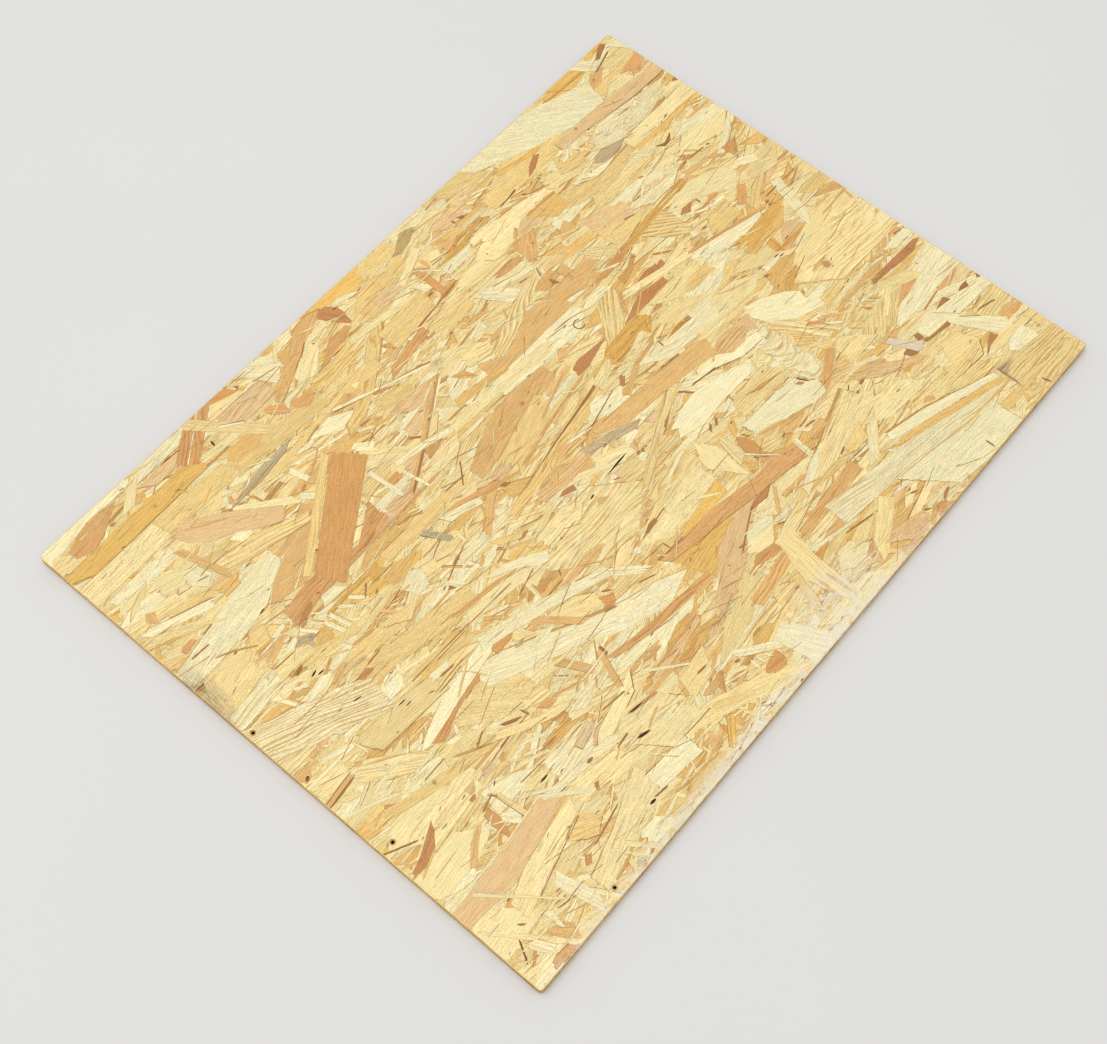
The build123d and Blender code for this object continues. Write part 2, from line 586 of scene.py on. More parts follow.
def add_skin(surface, skin, strands, points, chart, finish, flip=False, painted_step_shade=0.62):
    """Adds a skin's strands, steps and caps; the step walls and caps are painted darker as shade. `points`
    is where its flat places lie on the board.
    """
    grain = np.zeros((len(skin.flat), 3))
    for number in np.unique(skin.strand_of):
        mine = skin.strand_of == number
        grain[mine] = strands[number].grain_at(skin.flat[mine])
    colours = np.array([strand.colour for strand in strands])
    figures = np.array([strand.figure for strand in strands])
    pit = of_kind(strands, "pit")
    finishes = np.where(pit, TORN_WOOD_AND_SHADE, finish)
    upper = skin.strand_of[skin.steps[:, 0]]
    lower = skin.strand_of[skin.steps[:, 2]]
    capped = skin.strand_of[skin.caps[:, 0]]
    walls = [skin.steps[:, [0, 3, 2]], skin.steps[:, [0, 2, 1]]]
    # Painted shade: each step wall takes the darker colour of the two strands it joins, times the step
    # factor, and each cap its strand's colour times the same; a wall down into a pit takes the pit's own
    # dark
    painted_shade_wall_colour = np.minimum(colours[upper], colours[lower]) * painted_step_shade
    painted_shade_wall_colour = np.where(pit[lower][:, None], colours[lower], painted_shade_wall_colour)
    faces = np.concatenate([skin.faces, *walls, skin.caps])
    colour = [colours[skin.face_strand], painted_shade_wall_colour, painted_shade_wall_colour, colours[capped] * painted_step_shade]
    figure = [figures[skin.face_strand], figures[upper], figures[upper], figures[capped]]
    wood = [finishes[skin.face_strand], finishes[lower], finishes[lower], finishes[capped]]
    if flip:
        faces = faces[:, ::-1]
    colour, figure, wood = np.concatenate(colour), np.concatenate(figure), np.concatenate(wood)
    surface.add(points, grain, skin.flat, faces, colour, figure, wood, chart)


def stitched(run_a, run_b):
    """Triangles that join two lines of points which both go from the start to the end of the same run."""
    faces = []
    i = j = 0
    while i < len(run_a) - 1 or j < len(run_b) - 1:
        step_a = run_a[i + 1] if i < len(run_a) - 1 else math.inf
        step_b = run_b[j + 1] if j < len(run_b) - 1 else math.inf
        if step_a <= step_b:
            faces.append((i, len(run_a) + j, i + 1))
            i += 1
        else:
            faces.append((i, len(run_a) + j, len(run_a) + j + 1))
            j += 1
    return np.array(faces)


# The strands that fill the face, under and between the ones that are listed one by one. Their tones are
# weighted, and they reach this far from the board's middle, past its edges
REACH = (430, 325)
DEEP_TONES = {
    "gold straw": 9, "honey": 4, "tan": 2, "shade": 2, "straw": 9, "pale straw": 4, "pink tan": 2,
}
BROAD_TONES = {
    "cream": 13, "pale straw": 30, "straw": 32, "gold straw": 12, "honey": 3, "tan": 2, "pink tan": 4,
    "gold": 1,
}
FINE_TONES = {
    "cream": 24, "pale straw": 28, "straw": 20, "gold straw": 10, "honey": 6, "tan": 5, "orange": 3,
    "red tan": 2, "gold": 2, "shade": 3, "pink tan": 3, "red brown": 1,
}
# The lines beside strands: the dark ones are partly gaps and partly painted shade, the pale ones partly cut
# edges and partly painted highlight
LINE_TONES = {"shade": 10, "brown": 5, "dark brown": 1, "honey": 7, "cream": 6}


def half_step(length, turn):
    """How far it is from a strand's middle to its end."""
    return length / 2 * math.cos(turn), length / 2 * math.sin(turn)


def scattered(rng, count, lengths, widths, tones, spread, ribs=(0.0, 0.9), sunk=0.0):
    """Strands strewn over the board, most of them lying roughly along it."""
    strands = []
    for _ in range(count):
        x, y = rng.uniform(-REACH[0], REACH[0]), rng.uniform(-REACH[1], REACH[1])
        length = rng.triangular(lengths[0], lengths[1], (lengths[0] * 2 + lengths[1]) / 3)
        width = rng.triangular(widths[0], widths[1], widths[0])
        dx, dy = half_step(length, math.radians(rng.gauss(0, spread)))
        bow = rng.gauss(0, 0.012) if width > 5 else rng.gauss(0, 0.03)
        strand = strip(
            rng, drawn(rng, tones), (x - dx, y - dy), (x + dx, y + dy), width,
            taper=rng.uniform(0.6, 1.25), bend=bow * length,
            ribs=rng.uniform(*ribs), curl=max(0, rng.gauss(-0.3, 0.5)), sunk=sunk,
        )
        strands.append(strand)
    return strands


# A handful of splinters: how far from its middle they lie, how much it and each of them is turned,
# and their lengths and widths as the least, the most and the usual
HANDFUL_REACH = (17, 10)
HANDFUL_TURN = 22
SPLINTER_TURN = 26
SPLINTER_LENGTHS = (7, 46, 16)
SPLINTER_WIDTHS = (0.8, 5.5, 1.6)


def clusters(rng, count, each):
    """Handfuls of splinters that fell together, each handful fanned about one direction."""
    strands = []
    for _ in range(count):
        x, y = rng.uniform(-REACH[0], REACH[0]), rng.uniform(-REACH[1], REACH[1])
        lean = rng.gauss(0, HANDFUL_TURN)
        for _ in range(rng.randint(*each)):
            px, py = x + rng.gauss(0, HANDFUL_REACH[0]), y + rng.gauss(0, HANDFUL_REACH[1])
            length = rng.triangular(*SPLINTER_LENGTHS)
            width = rng.triangular(*SPLINTER_WIDTHS)
            dx, dy = half_step(length, math.radians(lean + rng.gauss(0, SPLINTER_TURN)))
            strand = strip(
                rng, drawn(rng, FINE_TONES), (px - dx, py - dy), (px + dx, py + dy), width,
                taper=rng.uniform(0.4, 1.3), bend=rng.gauss(0, 0.02) * length, ribs=rng.uniform(0, 0.5),
            )
            strands.append(strand)
    return strands


# A line beside a strand: how far out from the strand's side it may lie, and how deep
LINE_SLIP = (-0.1, 0.5)
LINE_DEPTH = (0.12, 0.35)


def with_lines(rng, strands, share):
    """The same strands, some with a thin line beside them that widens along one side: a dark one, partly a
    gap and partly painted shade, or a pale one, partly the strand's cut edge and partly a painted
    highlight.
    """
    lined = []
    for strand in strands:
        if strand.kind == "wood" and rng.random() < share:
            side = rng.choice((-1, 1)) * rng.uniform(*LINE_SLIP)
            turn = math.radians(rng.gauss(0, 0.9))
            pivot = np.array(strand.outline[rng.randrange(len(strand.outline))])
            x, y = (strand.outline - pivot).T
            cos, sin = math.cos(turn), math.sin(turn)
            turned = np.stack([x * cos - y * sin, x * sin + y * cos], axis=1)
            shift = np.array([-math.sin(strand.turn), math.cos(strand.turn)]) * side
            line = Strand(
                rng, pivot + turned + shift, drawn(rng, LINE_TONES), math.degrees(strand.turn),
                strand.centre, ribs=0.1, bend=strand.bend, sunk=rng.uniform(*LINE_DEPTH),
            )
            lined.append(line)
        lined.append(strand)
    return lined


def bed(rng):
    """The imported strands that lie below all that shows, as one sheet."""
    outline = [(-LENGTH, -WIDTH), (LENGTH, -WIDTH), (LENGTH, WIDTH), (-LENGTH, WIDTH)]
    return Strand(rng, outline, "honey", 0, (0, 0), ribs=0.6, sunk=0.3)


# From this height on a strand lies over the loose slivers and stays clean
TOPMOST = 5


class Face:
    """The strands that are set one by one, each with the order in which it went down."""

    def __init__(self, rng):
        self.rng = rng
        self.laid = []

    def lay(self, over, strand):
        """Lays one strand. The higher `over` is, the higher it lies."""
        self.laid.append((over, -strand.area(), len(self.laid), strand))

    def shapes(self, tone, over, *outlines, **wood):
        """Lays strands of one tone, each with an outline of its own: x, y, x, y and so on round it."""
        for numbers in outlines:
            points = list(zip(numbers[::2], numbers[1::2]))
            self.lay(over, shape(self.rng, tone, points, **wood))

    def strips(self, tone, over, *rows, **wood):
        """Lays strands of one tone, each given as its width and where it starts and ends."""
        for width, start_x, start_y, end_x, end_y in rows:
            self.lay(over, strip(self.rng, tone, (start_x, start_y), (end_x, end_y), width, **wood))

    def in_order(self, topmost):
        """The topmost strands or all others, from the lowest to the highest, broad before narrow."""
        rows = sorted(self.laid, key=lambda row: row[:3])
        return [strand for over, _, _, strand in rows if (over >= TOPMOST) == topmost]


def lay_cream(face):
    """The palest strands."""
    face.shapes("cream", -1, (-290, 300, -218, 300, -228, 286, -292, 286))
    face.shapes("cream", 0, (-404, 122, -365, 129, -325, 139, -262, 148, -262, 130, -300, 109, -345, 101,
        -404, 101), (-401, 300, -290, 300, -300, 290, -345, 293, -401, 282), (345, -132, 365, -118,
        404, -112, 404, -152, 300, -152, 300, -140))
    face.strips("cream", 0, (13, -404, 195, -352, 188), (16, -402, -292, -350, -292),
        (9, -394, 171, -328, 146), (24, -310, -165, -256, -163), (12, -278, 178, -250, 170),
        (10, -142, 46, -100, 34), (12, -42, 128, -16, 128), (7, 14, 50, 58, 55), (20, 102, 6, 206, 2),
        (46, 156, -264, 290, -284), (13, 338, 162, 404, 150), (9, 354, 91, 374, 80))
    face.strips("cream", 0, (19, -404, 49, -341, 54), (26, -258, -185, -196, -187), ribs=0.9)
    face.shapes("white", 0, (275, 222, 300, 231, 385, 221, 378, 206, 340, 198, 303, 199, 284, 206),
        curl=2.0, ribs=0.9)
    face.shapes("cream", 1, (-388, 219, -345, 219.5, -318, 217, -318, 203, -345, 203, -388, 211),
        (-330, 186, -314, 184, -310, 168, -322, 162, -331, 172), (-158, 198, -128, 201, -106, 188,
        -128, 181), (-152, 300, -121, 300, -112, 276, -132, 264), (-144, 67, -140, 75, -128, 74, -129, 66),
        (30, 239, 38, 240, 43, 228, 35, 225), (60, 186, 80, 182, 99, 156, 84, 146), (240, 231, 262, 233,
        254, 225, 241, 226))
    face.shapes("cream", 1, (-2, 108, 113, 107, 120, 95, 98, 82, -2, 89), (30, 8, 40, 22, 53, 24, 62, 15,
        78, 13, 66, 3), (115, -102, 186, -104, 202, -127, 196, -140, 170, -138, 118, -120), ribs=0.1)
    face.strips("cream", 1, (3, -404, -76, -350, -100), (2.6, -402, -38, -344, -41),
        (5, -378, -29, -350, -38), (3, -345, -38, -342, -56), (5, -322, 82, -300, 84),
        (4, -295, -102, -278, -105), (7, -262, -50, -236, -52), (9, -138, 162, -120, 146),
        (6, -38, 288, -6, 277), (3, 8, 132, 29, 125), (11, 62, 227, 108, 227), (5, 80, 178, 125, 165),
        (9, 114, 97, 160, 94), (4, 224, -144, 258, -152), (9, 362, -90, 402, -90), (3, 393, -80, 404, -82))
    face.strips("cream", 1, (14, 241, 131, 310, 129), ribs=0.9)
    face.shapes("white", 1, (-345, 15, -330, 23, -318, 25, -311, 20, -322, 14), (-214, 28, -196, 35,
        -186, 28, -192, 12, -206, 12), (-98, 300, -81, 298, -86, 290, -98, 288), (222, 203, 240, 201,
        262, 194, 282, 192, 262, 188, 250, 189, 238, 197))
    face.strips("white", 1, (9, -170, 99, -121, 100), (4, 304, -17, 332, -18))
    face.shapes("cream", 2, (-314, -89, -295, -80, -265, -70, -200, -59, -198, -73, -262, -83, -300, -93),
        (-270, 68, -263, 78, -250, 77, -241, 66), (-206, -249, -157, -252, -157, -273, -206, -268),
        (118, -37, 142, -35, 206, -48, 206, -62, 175, -55, 150, -44), (307, -163, 335, -163, 404, -178,
        404, -190, 345, -186, 308, -178), (335, 300, 350, 300, 366, 286, 354, 277, 347, 283))
    face.shapes("cream", 2, (192, -42, 216, -42, 220, -122, 200, -127, 193, -110), centre=(209, -82),
        curl=-0.045, ribs=1.0, spacing=6.5, turn=0)
    face.strips("cream", 2, (4, -360, 41, -350, 19), (14, -356, -262, -342, -276),
        (13, -312, -172, -300, -196), (3.4, -292, -178, -254, -204), (5, -280, -192, -245, -222),
        (16, -250, -286, -218, -286), (7, -204, 163, -191, 147), (3, -185, 190, -131, 177),
        (10, -151, -169, -46, -180), (6, -120, -189, -74, -178), (3, -65, -252, -66, -264),
        (3, -60, -253, -58, -265), (3, -52, -256, -50, -266), (2, 20, -6, 49, -19), (2, 62, -23, 80, -30),
        (4, 128, 263, 136, 256), (2.6, 160, 117, 184, 115), (12, 362, 49, 342, -16),
        (8, 384, 300, 404, 270))
    face.shapes("white", 2, (-350, -20, -343, -21.5, -341, -28, -347, -25), (-258, 205, -253, 210,
        -250, 204, -255, 202), (-232, -70, -200, -80, -100, -132, -128, -140, -232, -94), (-53, -109,
        -46, -105, -41, -108, -47, -115), (116, 115, 150, 108.5, 118, 109), (232, 51, 236, 57, 322, 38,
        318, 32, 290, 30, 268, 33))
    face.strips("white", 2, (9, -378, -264, -366, -287), (3, -326, -171, -322, -186),
        (12, -322, -248, -311, -300), (8, 25, -52, 36, -50))
    face.strips("white", 2, (25, -142, -124, -34, -160), bend=-4)
    face.strips("white", 2, (38, -408, 24, -294, -25), ends="cut", ribs=1.5)
    face.shapes("cream", 3, (-157, -22, -135, -26, -120, -33, -102, -45, -101, -50, -107, -54, -117, -50,
        -130, -38, -148, -29), (253, 67, 257, 76, 263, 66), (333, -165, 377, -224, 370, -230, 355, -227,
        335, -185))
    face.shapes("cream", 3, (220, -22, 240, -28, 262, -42, 271, -52, 268, -62, 291, -62, 290, -70, 277, -72,
        275, -80, 245, -70, 222, -50, 216, -34), ribs=0.1)
    face.strips("cream", 3, (6, -192, 191, -186, 168), (8, -182, -100, -150, -96), (5, -146, 132, -142, 88),
        (3, -126, 117, -119, 76), (4, -88, -99, -56, -130), (3, -82, -98, -50, -130),
        (9, 24, -176, 56, -180), (2.4, 48, 249, 65, 230), (2, 50, -162, 51, -178), (2.4, 84, 26, 98, 17),
        (8.5, 95, -191, 142, -171), (6, 160, -222, 198, -188), (2.8, 357, 279, 389, 292))
    face.strips("cream", 3, (3.2, -120, 203, -22, 167), ends="cut")
    face.shapes("white", 3, (-36, -256, -18, -250, 3, -292, -4, -301, -30, -301))
    face.shapes("ash", 4, (275, -150, 283, -150, 301, -178, 297, -182, 289, -181))
    face.strips("cream", 4, (8, -72, -237, -36, -264), (4, 50, -229, 108, -242), (1.8, 86, -113, 115, -150))
    face.strips("cream", 4, (7, -124, 119, -60, 105), ribs=0.9)
    face.strips("cream", 4, (11, -208, -63, -80, -102), bend=2, ends="cut")
    face.strips("white", 4, (6, 135, -149, 133, -171))
    face.shapes("cream", 5, (162, 300, 255, 300, 322, 280, 334, 271, 328, 245, 281, 248, 239, 260,
        172, 286), ribs=0.1, turn=-38)
    face.shapes("white", 5, (345, -247, 355, -240, 375, -237, 380, -246, 380, -259, 352, -254))
    face.shapes("white", 5, (67, -66, 75, -58, 68, -54, 90, -47, 112, -44.5, 140, -50, 163, -57, 175, -66,
        166, -73, 128, -71, 95, -74, 76, -69), ribs=0.1)
    face.shapes("white", 5, (97, -212, 200, -230, 318, -256, 320, -264, 260, -262, 205, -252, 97, -238),
        ribs=0.7)
    face.shapes("cream", 6, (194, -210, 240, -221, 315, -249, 316, -256, 194, -219), ribs=0.1)
    face.strips("cream", 6, (2, -402, -200.5, -330, -197.5))


def lay_straw(face):
    """The straw-coloured strands."""
    face.strips("pale straw", -1, (62, -116, -62, 12, -66), ribs=0.9)
    face.shapes("pale straw", 0, (-118, 256, -86, 273, -70, 268, -100, 242, -118, 248))
    face.strips("pale straw", 0, (32, -404, -176, -324, -172), (26, -402, -128, -300, -122),
        (17, -402, -45, -362, -52), (26, -400, -148, -300, -136), (8, -395, 203, -352, 205),
        (20, -372, -82, -338, -98), (20, -352, 195, -310, 180), (24, -262, -215, -190, -226),
        (9, -254, 199, -203, 158), (26, -200, -206, -120, -218), (14, -195, -36, -124, -46),
        (26, -190, -238, -122, -240), (22, -100, -42, -40, -38), (20, -44, -118, 2, -114),
        (26, 0, -108, 60, -106), (26, 0, -292, 95, -292), (20, 10, -188, 62, -189),
        (22, 55, -258, 95, -262), (15, 56, 297, 120, 287), (12, 56, -169, 130, -170),
        (13, 58, 206, 142, 205), (11, 62, 252, 80, 246), (24, 170, 0, 262, -8), (22, 200, -192, 270, -196),
        (14, 200, -168, 225, -176), (6, 275, -86, 345, -85), (6, 302, -132, 330, -116),
        (30, 320, 141, 406, 143), (11, 331, 250, 374, 248))
    face.strips("pale straw", 0, (40, -404, -244, -362, -240), curl=1.5)
    face.strips("pale straw", 0, (24, -406, 234, -309, 235), (17, 301, 190, 404, 189), ends="cut")
    face.strips("pale straw", 0, (14, -404, -8, -360, -18), (18, -228, -129, -200, -133),
        (17, -122, 90, -60, 90), (20, -104, 0, -66, -14), (12, 92, -92, 88, -128),
        (22, 104, -193, 212, -160), (40, 266, -56, 412, -58), (26, 350, -30, 406, -32), ribs=0.9)
    face.shapes("straw", 0, (0, -74, 10, -80, 62, -47, 118, -29, 95, -24, 80, -28), ribs=0.9)
    face.strips("straw", 0, (22, -404, 276, -372, 277), (9, -396, 163, -345, 137),
        (24, -346, -50, -256, -56), (14, -342, 54, -304, 54), (12, -342, -252, -285, -242),
        (18, -310, -110, -262, -112), (8, -198, 291, -158, 285), (11, -188, 24, -150, 16),
        (18, -152, -246, -28, -293), (22, -135, -228, -80, -222), (18, -2, 145, 32, 138),
        (13, 58, 70, 108, 62), (9, 64, 216, 122, 216), (16, 85, -283, 145, -248), (18, 150, 27, 215, 20),
        (20, 160, 42, 232, 42), (18, 202, 222, 256, 210), (36, 236, -122, 280, -122),
        (30, 290, -22, 404, -22), (26, 300, -202, 340, -212), (26, 350, 75, 406, 70),
        (14, 354, 271, 406, 270), (18, 372, 30, 406, 33))
    face.strips("straw", 0, (22, -404, 62, -340, 74), (26, -404, 84, -335, 92), curl=1.4)
    face.strips("straw", 0, (14, -302, 165, -208, 143), (20, -262, -58, -204, -50),
        (20, -190, -100, -150, -112), (18, -168, 122, -122, 122), (16, -98, -118, -62, -124),
        (13, -2, 196, 126, 193), (22, 0, 32, 78, 40), (22, 0, -52, 70, -56), (20, 0, -88, 62, -84),
        (13, 106, -133, 126, -140), (30, 200, -222, 340, -232), (16, 222, 168, 310, 160),
        (30, 262, -152, 330, -112), (18, 330, -290, 404, -288), (20, 345, -208, 404, -200), ribs=0.9)
    face.shapes("gold straw", 0, (150, 256, 205, 276, 281, 249, 250, 240, 210, 238, 152, 240), (198, 206,
        250, 187, 300, 190, 300, 182, 262, 172, 215, 178, 198, 186))
    face.shapes("gold straw", 0, (-366, 171, -333, 166, -317, 150, -345, 148), (120, 300, 162, 300,
        186, 276, 170, 277, 131, 285), (196, 145, 215, 141, 240, 128, 238, 120, 196, 118), ribs=0.1)
    face.strips("gold straw", 0, (18, -342, 94, -300, 88), (16, -300, 18, -220, 6),
        (19, -226, 229, -108, 219), (12, -202, 60, -84, 58), (16, -100, 214, -50, 205),
        (15, -90, 172, -48, 164), (26, -62, 34, 22, 58), (18, 4, 285, 62, 292), (11, 18, 185, 60, 186),
        (22, 232, 228, 262, 216), (22, 268, 62, 312, 60), (12, 318, 42, 362, 66), (16, 362, 17, 406, 14))
    face.strips("gold straw", 0, (11, -330, 42, -262, 33), bend=2)
    face.strips("gold straw", 0, (22, -404, -272, -384, -270), curl=1.5)
    face.strips("gold straw", 0, (21, -309, 236, -224, 232), ends="cut")
    face.strips("gold straw", 0, (16, -112, 232, -40, 236), (27, -38, 262, 52, 263), (12, 198, 34, 240, 33),
        (16, 222, -82, 236, -98), ribs=0.9)
    face.strips("gold straw", 0, (14, -130, 171, -20, 243), bend=-6, ribs=0.9)
    face.shapes("pale straw", 1, (-362, -234, -330, -222, -262, -211, -268, -225, -362, -254), (-302, -292,
        -302, -270, -260, -258, -205, -236, -200, -262, -240, -272))
    face.shapes("pale straw", 1, (107, 236, 165, 228, 204, 220, 206, 208, 160, 212, 148, 206, 120, 201,
        92, 212, 104, 222), (259, 106, 285, 113, 305, 114, 340, 101, 346, 85, 330, 73, 312, 85, 290, 96,
        268, 99), ribs=0.1)
    face.strips("pale straw", 1, (10, -322, 267, -284, 299), (6, -276, -24, -240, -32),
        (13, -62, 105, 72, 94), (8, 24, 250, 68, 268))
    face.strips("pale straw", 1, (14, -62, -194, -41, -193), (18, -4, -233, 24, -232),
        (10, 58, -222, 98, -221), ribs=0.9)
    face.shapes("straw", 1, (-87, -236, -60, -218, 0, -195, 0, -214, -35, -230), (164, 142, 180, 135,
        200, 120, 188, 112, 172, 128), (300, -96, 345, -105, 358, -115, 365, -130, 352, -131))
    face.shapes("straw", 1, (125, -99, 127, -82, 140, -75, 182, -76, 190, -100), ribs=0.9)
    face.shapes("straw", 1, (221, 108, 258, 113, 263, 102, 262, 78, 255, 73, 236, 88), ribs=1.5)
    face.shapes("straw", 1, (-276, -97, -262, -88, -240, -84, -221, -84, -204, -106, -203, -122, -222, -130,
        -250, -121), curl=2.0, turn=-40)
    face.strips("straw", 1, (5, -392, 190, -352, 207), (9, -390, -66, -368, -75),
        (10, -375, -28, -344, -32), (12, -282, -180, -257, -184), (6, -138, 153, -104, 121),
        (20, 382, -238, 406, -252))
    face.strips("straw", 1, (14, 236, -216, 338, -224), ribs=0.9)
    face.shapes("gold straw", 1, (16, 21, 34, 21, 25, 8), (158, -190, 190, -183, 182, -200, 160, -199))
    face.strips("gold straw", 1, (21, -302, -2, -170, -25), (13, -270, -38, -200, -48),
        (7, -130, -3, -100, -20), (7, -122, -253, -84, -276))
    face.strips("gold straw", 1, (17, -204, -289, -138, -290), (11, -97, 0, 62, 25),
        (7, 102, -191, 160, -198), ribs=0.9)
    face.shapes("pale straw", 2, (-366, -61, -350, -56, -308, -93, -315, -100, -336, -98, -366, -69),
        ribs=0.9)
    face.strips("pale straw", 2, (5, -397, -228, -348, -300), (4, -274, -268, -258, -296),
        (5, -262, -274, -246, -296), (5, -118, 281, -99, 300), (23, 74, -79, 68, -139),
        (5, 166, -222, 202, -192))
    face.strips("pale straw", 2, (6, 217, -56, 250, -104), (7, 222, -50, 263, -108), ribs=0.9)
    face.strips("pale straw", 2, (15, 26, 124, 114, 157), ends="cut", ribs=1.5)
    face.shapes("straw", 2, (-152, -88, -120, -94, -104, -106, -107, -119, -122, -118, -140, -105))
    face.strips("straw", 2, (5, -300, -158, -296, -196), (6, 76, 29, 92, 42))
    face.strips("straw", 2, (8, -262, -128, -196, -158), bend=-3)
    face.strips("straw", 2, (11.5, -222, 300, -170, 231), ends="cut")
    face.shapes("gold straw", 2, (-292, -236, -268, -226, -256, -243, -270, -252, -280, -247), turn=-35)
    face.strips("gold straw", 2, (6, -204, 196, -126, 207), (5, -128, 206, -58, 215),
        (8, 26, -227, 14, -271), (13, 224, -102, 248, -114))
    face.strips("gold straw", 2, (10, -378, -104, -262, -129), bend=-3)
    face.strips("pale straw", 3, (8, 112, 26, 138, 37), (8, 156, 76, 240, 57))
    face.shapes("straw", 3, (-181, -76, -172, -80, -167, -92, -186, -84), turn=-60)
    face.shapes("straw", 5, (40, -203, 62, -200, 53, -232, 49, -286, 37, -286, 27, -240))
    face.shapes("straw", 5, (101, 50, 130, 88, 150, 93, 156, 86, 130, 52), (321, -250, 404, -262, 404, -278,
        321, -280), ribs=1.5)
    face.shapes("gold straw", 5, (-31, 228, 31, 233, 31, 208, -31, 202))
    face.strips("gold straw", 5, (8, -258, 101, -158, 176), ends="cut")
    face.strips("pale straw", 6, (2.6, -378, -204, -329, -266), ends="cut")


def lay_gold(face):
    """The honey, gold, amber and orange strands."""
    face.shapes("honey", 0, (183, 232, 200, 240, 206, 238, 206, 222, 190, 226))
    face.shapes("honey", 0, (-222, 240, -212, 247, -192, 248, -178, 238, -190, 229, -212, 230), (163, 208,
        172, 214, 206, 207, 206, 188, 187, 186, 176, 199), ribs=0.1)
    face.strips("honey", 0, (9, -384, 36, -346, 27), (6, -308, 272, -293, 276), (8, -158, 165, -124, 168),
        (14, 272, 12, 344, 17), (12, 372, 98, 406, 92))
    face.shapes("gold", 0, (-36, -139, 30, -140, 40, -152, -22, -178), (0, -127, 55, -118.5, 53, -134,
        -35, -139))
    face.shapes("gold", 0, (-75, 300, 12, 300, 6, 282, -12, 277, -42, 291), ribs=0.1)
    face.strips("gold", 0, (19, -406, 256.5, -238, 258.5), (5, 184, 267, 240, 257), (9, 354, 297, 388, 299))
    face.strips("amber", 0, (4, -276, 253, -266, 246), (5, -270, 267, -242, 265))
    face.shapes("honey", 1, (-304, 48, -286, 57.5, -281, 54, -284, 40), (-217, 46, -200, 51, -176, 43,
        -203, 32, -215, 36), (-142, 35, -125, 38, -101, 29, -136, 28), (258, -30, 263, -15, 290, -14,
        305, -22, 280, -31, 262, -40), (385, 208, 384, 216, 402, 221, 402, 210))
    face.shapes("honey", 1, (-319, 153, -296, 153, -300, 142, -319, 142), ribs=0.1)
    face.strips("honey", 1, (10, -402, -140, -372, -146), (4, -187, 68, -152, 69), (9, -42, 119, 22, 110),
        (10, 84, -132, 94, -140), (9, 105, -78, 120, -78), (7, 116, -86, 102, -106),
        (6, 300, 180.5, 398, 178), (4, 340, 118, 356, 106))
    face.shapes("gold", 1, (287, 300, 333, 300, 348, 286, 322, 280, 289, 289), ribs=0.1)
    face.shapes("amber", 1, (-99, 241, -86, 248, -74, 248, -80, 243))
    face.strips("amber", 1, (3, -364, 222, -350, 220), (7.5, 203, 111, 306, 120))
    face.strips("amber", 1, (11, 297, -12, 299, 9), ribs=0.9)
    face.shapes("olive", 1, (44, 278, 68, 293.5, 84, 288, 70, 280, 54, 276))
    face.strips("orange", 1, (9, -194, 302, -160, 289), (9, 148, 106, 206, 111))
    face.strips("orange", 1, (8, 47, 251, 47, 211), ends="cut")
    face.shapes("honey", 2, (326, -104, 345, -108, 402, -110, 362, -117))
    face.strips("gold", 2, (5, -130, -28, -104, -28))
    face.strips("gold", 2, (7, -139, -292, -117, -271), ribs=0.9)
    face.shapes("amber", 2, (-224, 52, -222, 58, -208, 58, -206, 53), (65, 236, 84, 240, 104, 248, 138, 243,
        120, 240, 104, 233, 86, 233), (261, -42, 268, -36, 289, -31.5, 284, -38, 268, -45), (267, 25,
        285, 30, 340, 32, 342, 22, 310, 19, 300, 16, 274, 14, 282, 20))
    face.shapes("amber", 2, (88, 44, 100, 52, 130, 54, 148, 51, 156, 41, 140, 28, 138, 35, 90, 32, 86, 36),
        ribs=0.9)
    face.strips("amber", 2, (2.4, -291, -288, -266, -283), (2.6, 286, 291, 344, 288))
    face.strips("amber", 2, (3.6, -276, 61, -207, 60), bend=1.5)
    face.shapes("resin", 2, (143, 12, 160, 15, 170, 14.5, 172, 10))
    face.shapes("orange", 2, (-142, 113, -128, 113, -128, 104, -142, 104), (-66, -270, -60, -266, -43, -263,
        -43, -276, -48, -280, -61, -277), (7, -200, 18, -194, 38, -199, 40, -209, 28, -208), (358, 115,
        380, 113.5, 360, 93))
    face.strips("orange", 2, (5, -296, -263, -287, -254))
    face.shapes("amber", 3, (72, 237, 92, 244, 104, 246, 118, 242, 102, 236, 86, 235), (261, -183,
        270, -182, 278, -186, 266, -188))
    face.strips("amber", 3, (4, 92, 37, 100, 43), (5, 140, 30, 154, 44))
    face.shapes("orange", 3, (-321, -167, -313, -164, -312, -178, -318, -196.5, -321, -195, -323, -181),
        (-204, -72, -190, -68.5, -176, -74, -186, -79, -204, -80), (50, -233, 72, -236, 52, -243),
        (102, -105, 108, -112, 110, -120, 107, -140, 98, -134, 95, -124, 97, -112), (157, -299, 168, -289,
        179, -299))
    face.strips("orange", 3, (5, -106, -207, -90, -207), (7, -106, -253, -90, -236),
        (3.4, -101, -211, -78, -202))
    face.shapes("orange", 4, (-105, -112, -93, -119.5, -99, -127, -109, -124))
    face.strips("honey", 5, (7, 197, -225, 322, -261))
    face.shapes("orange", 6, (-256, 95, -239, 70, -133, 145, -153, 173), ribs=0.1)


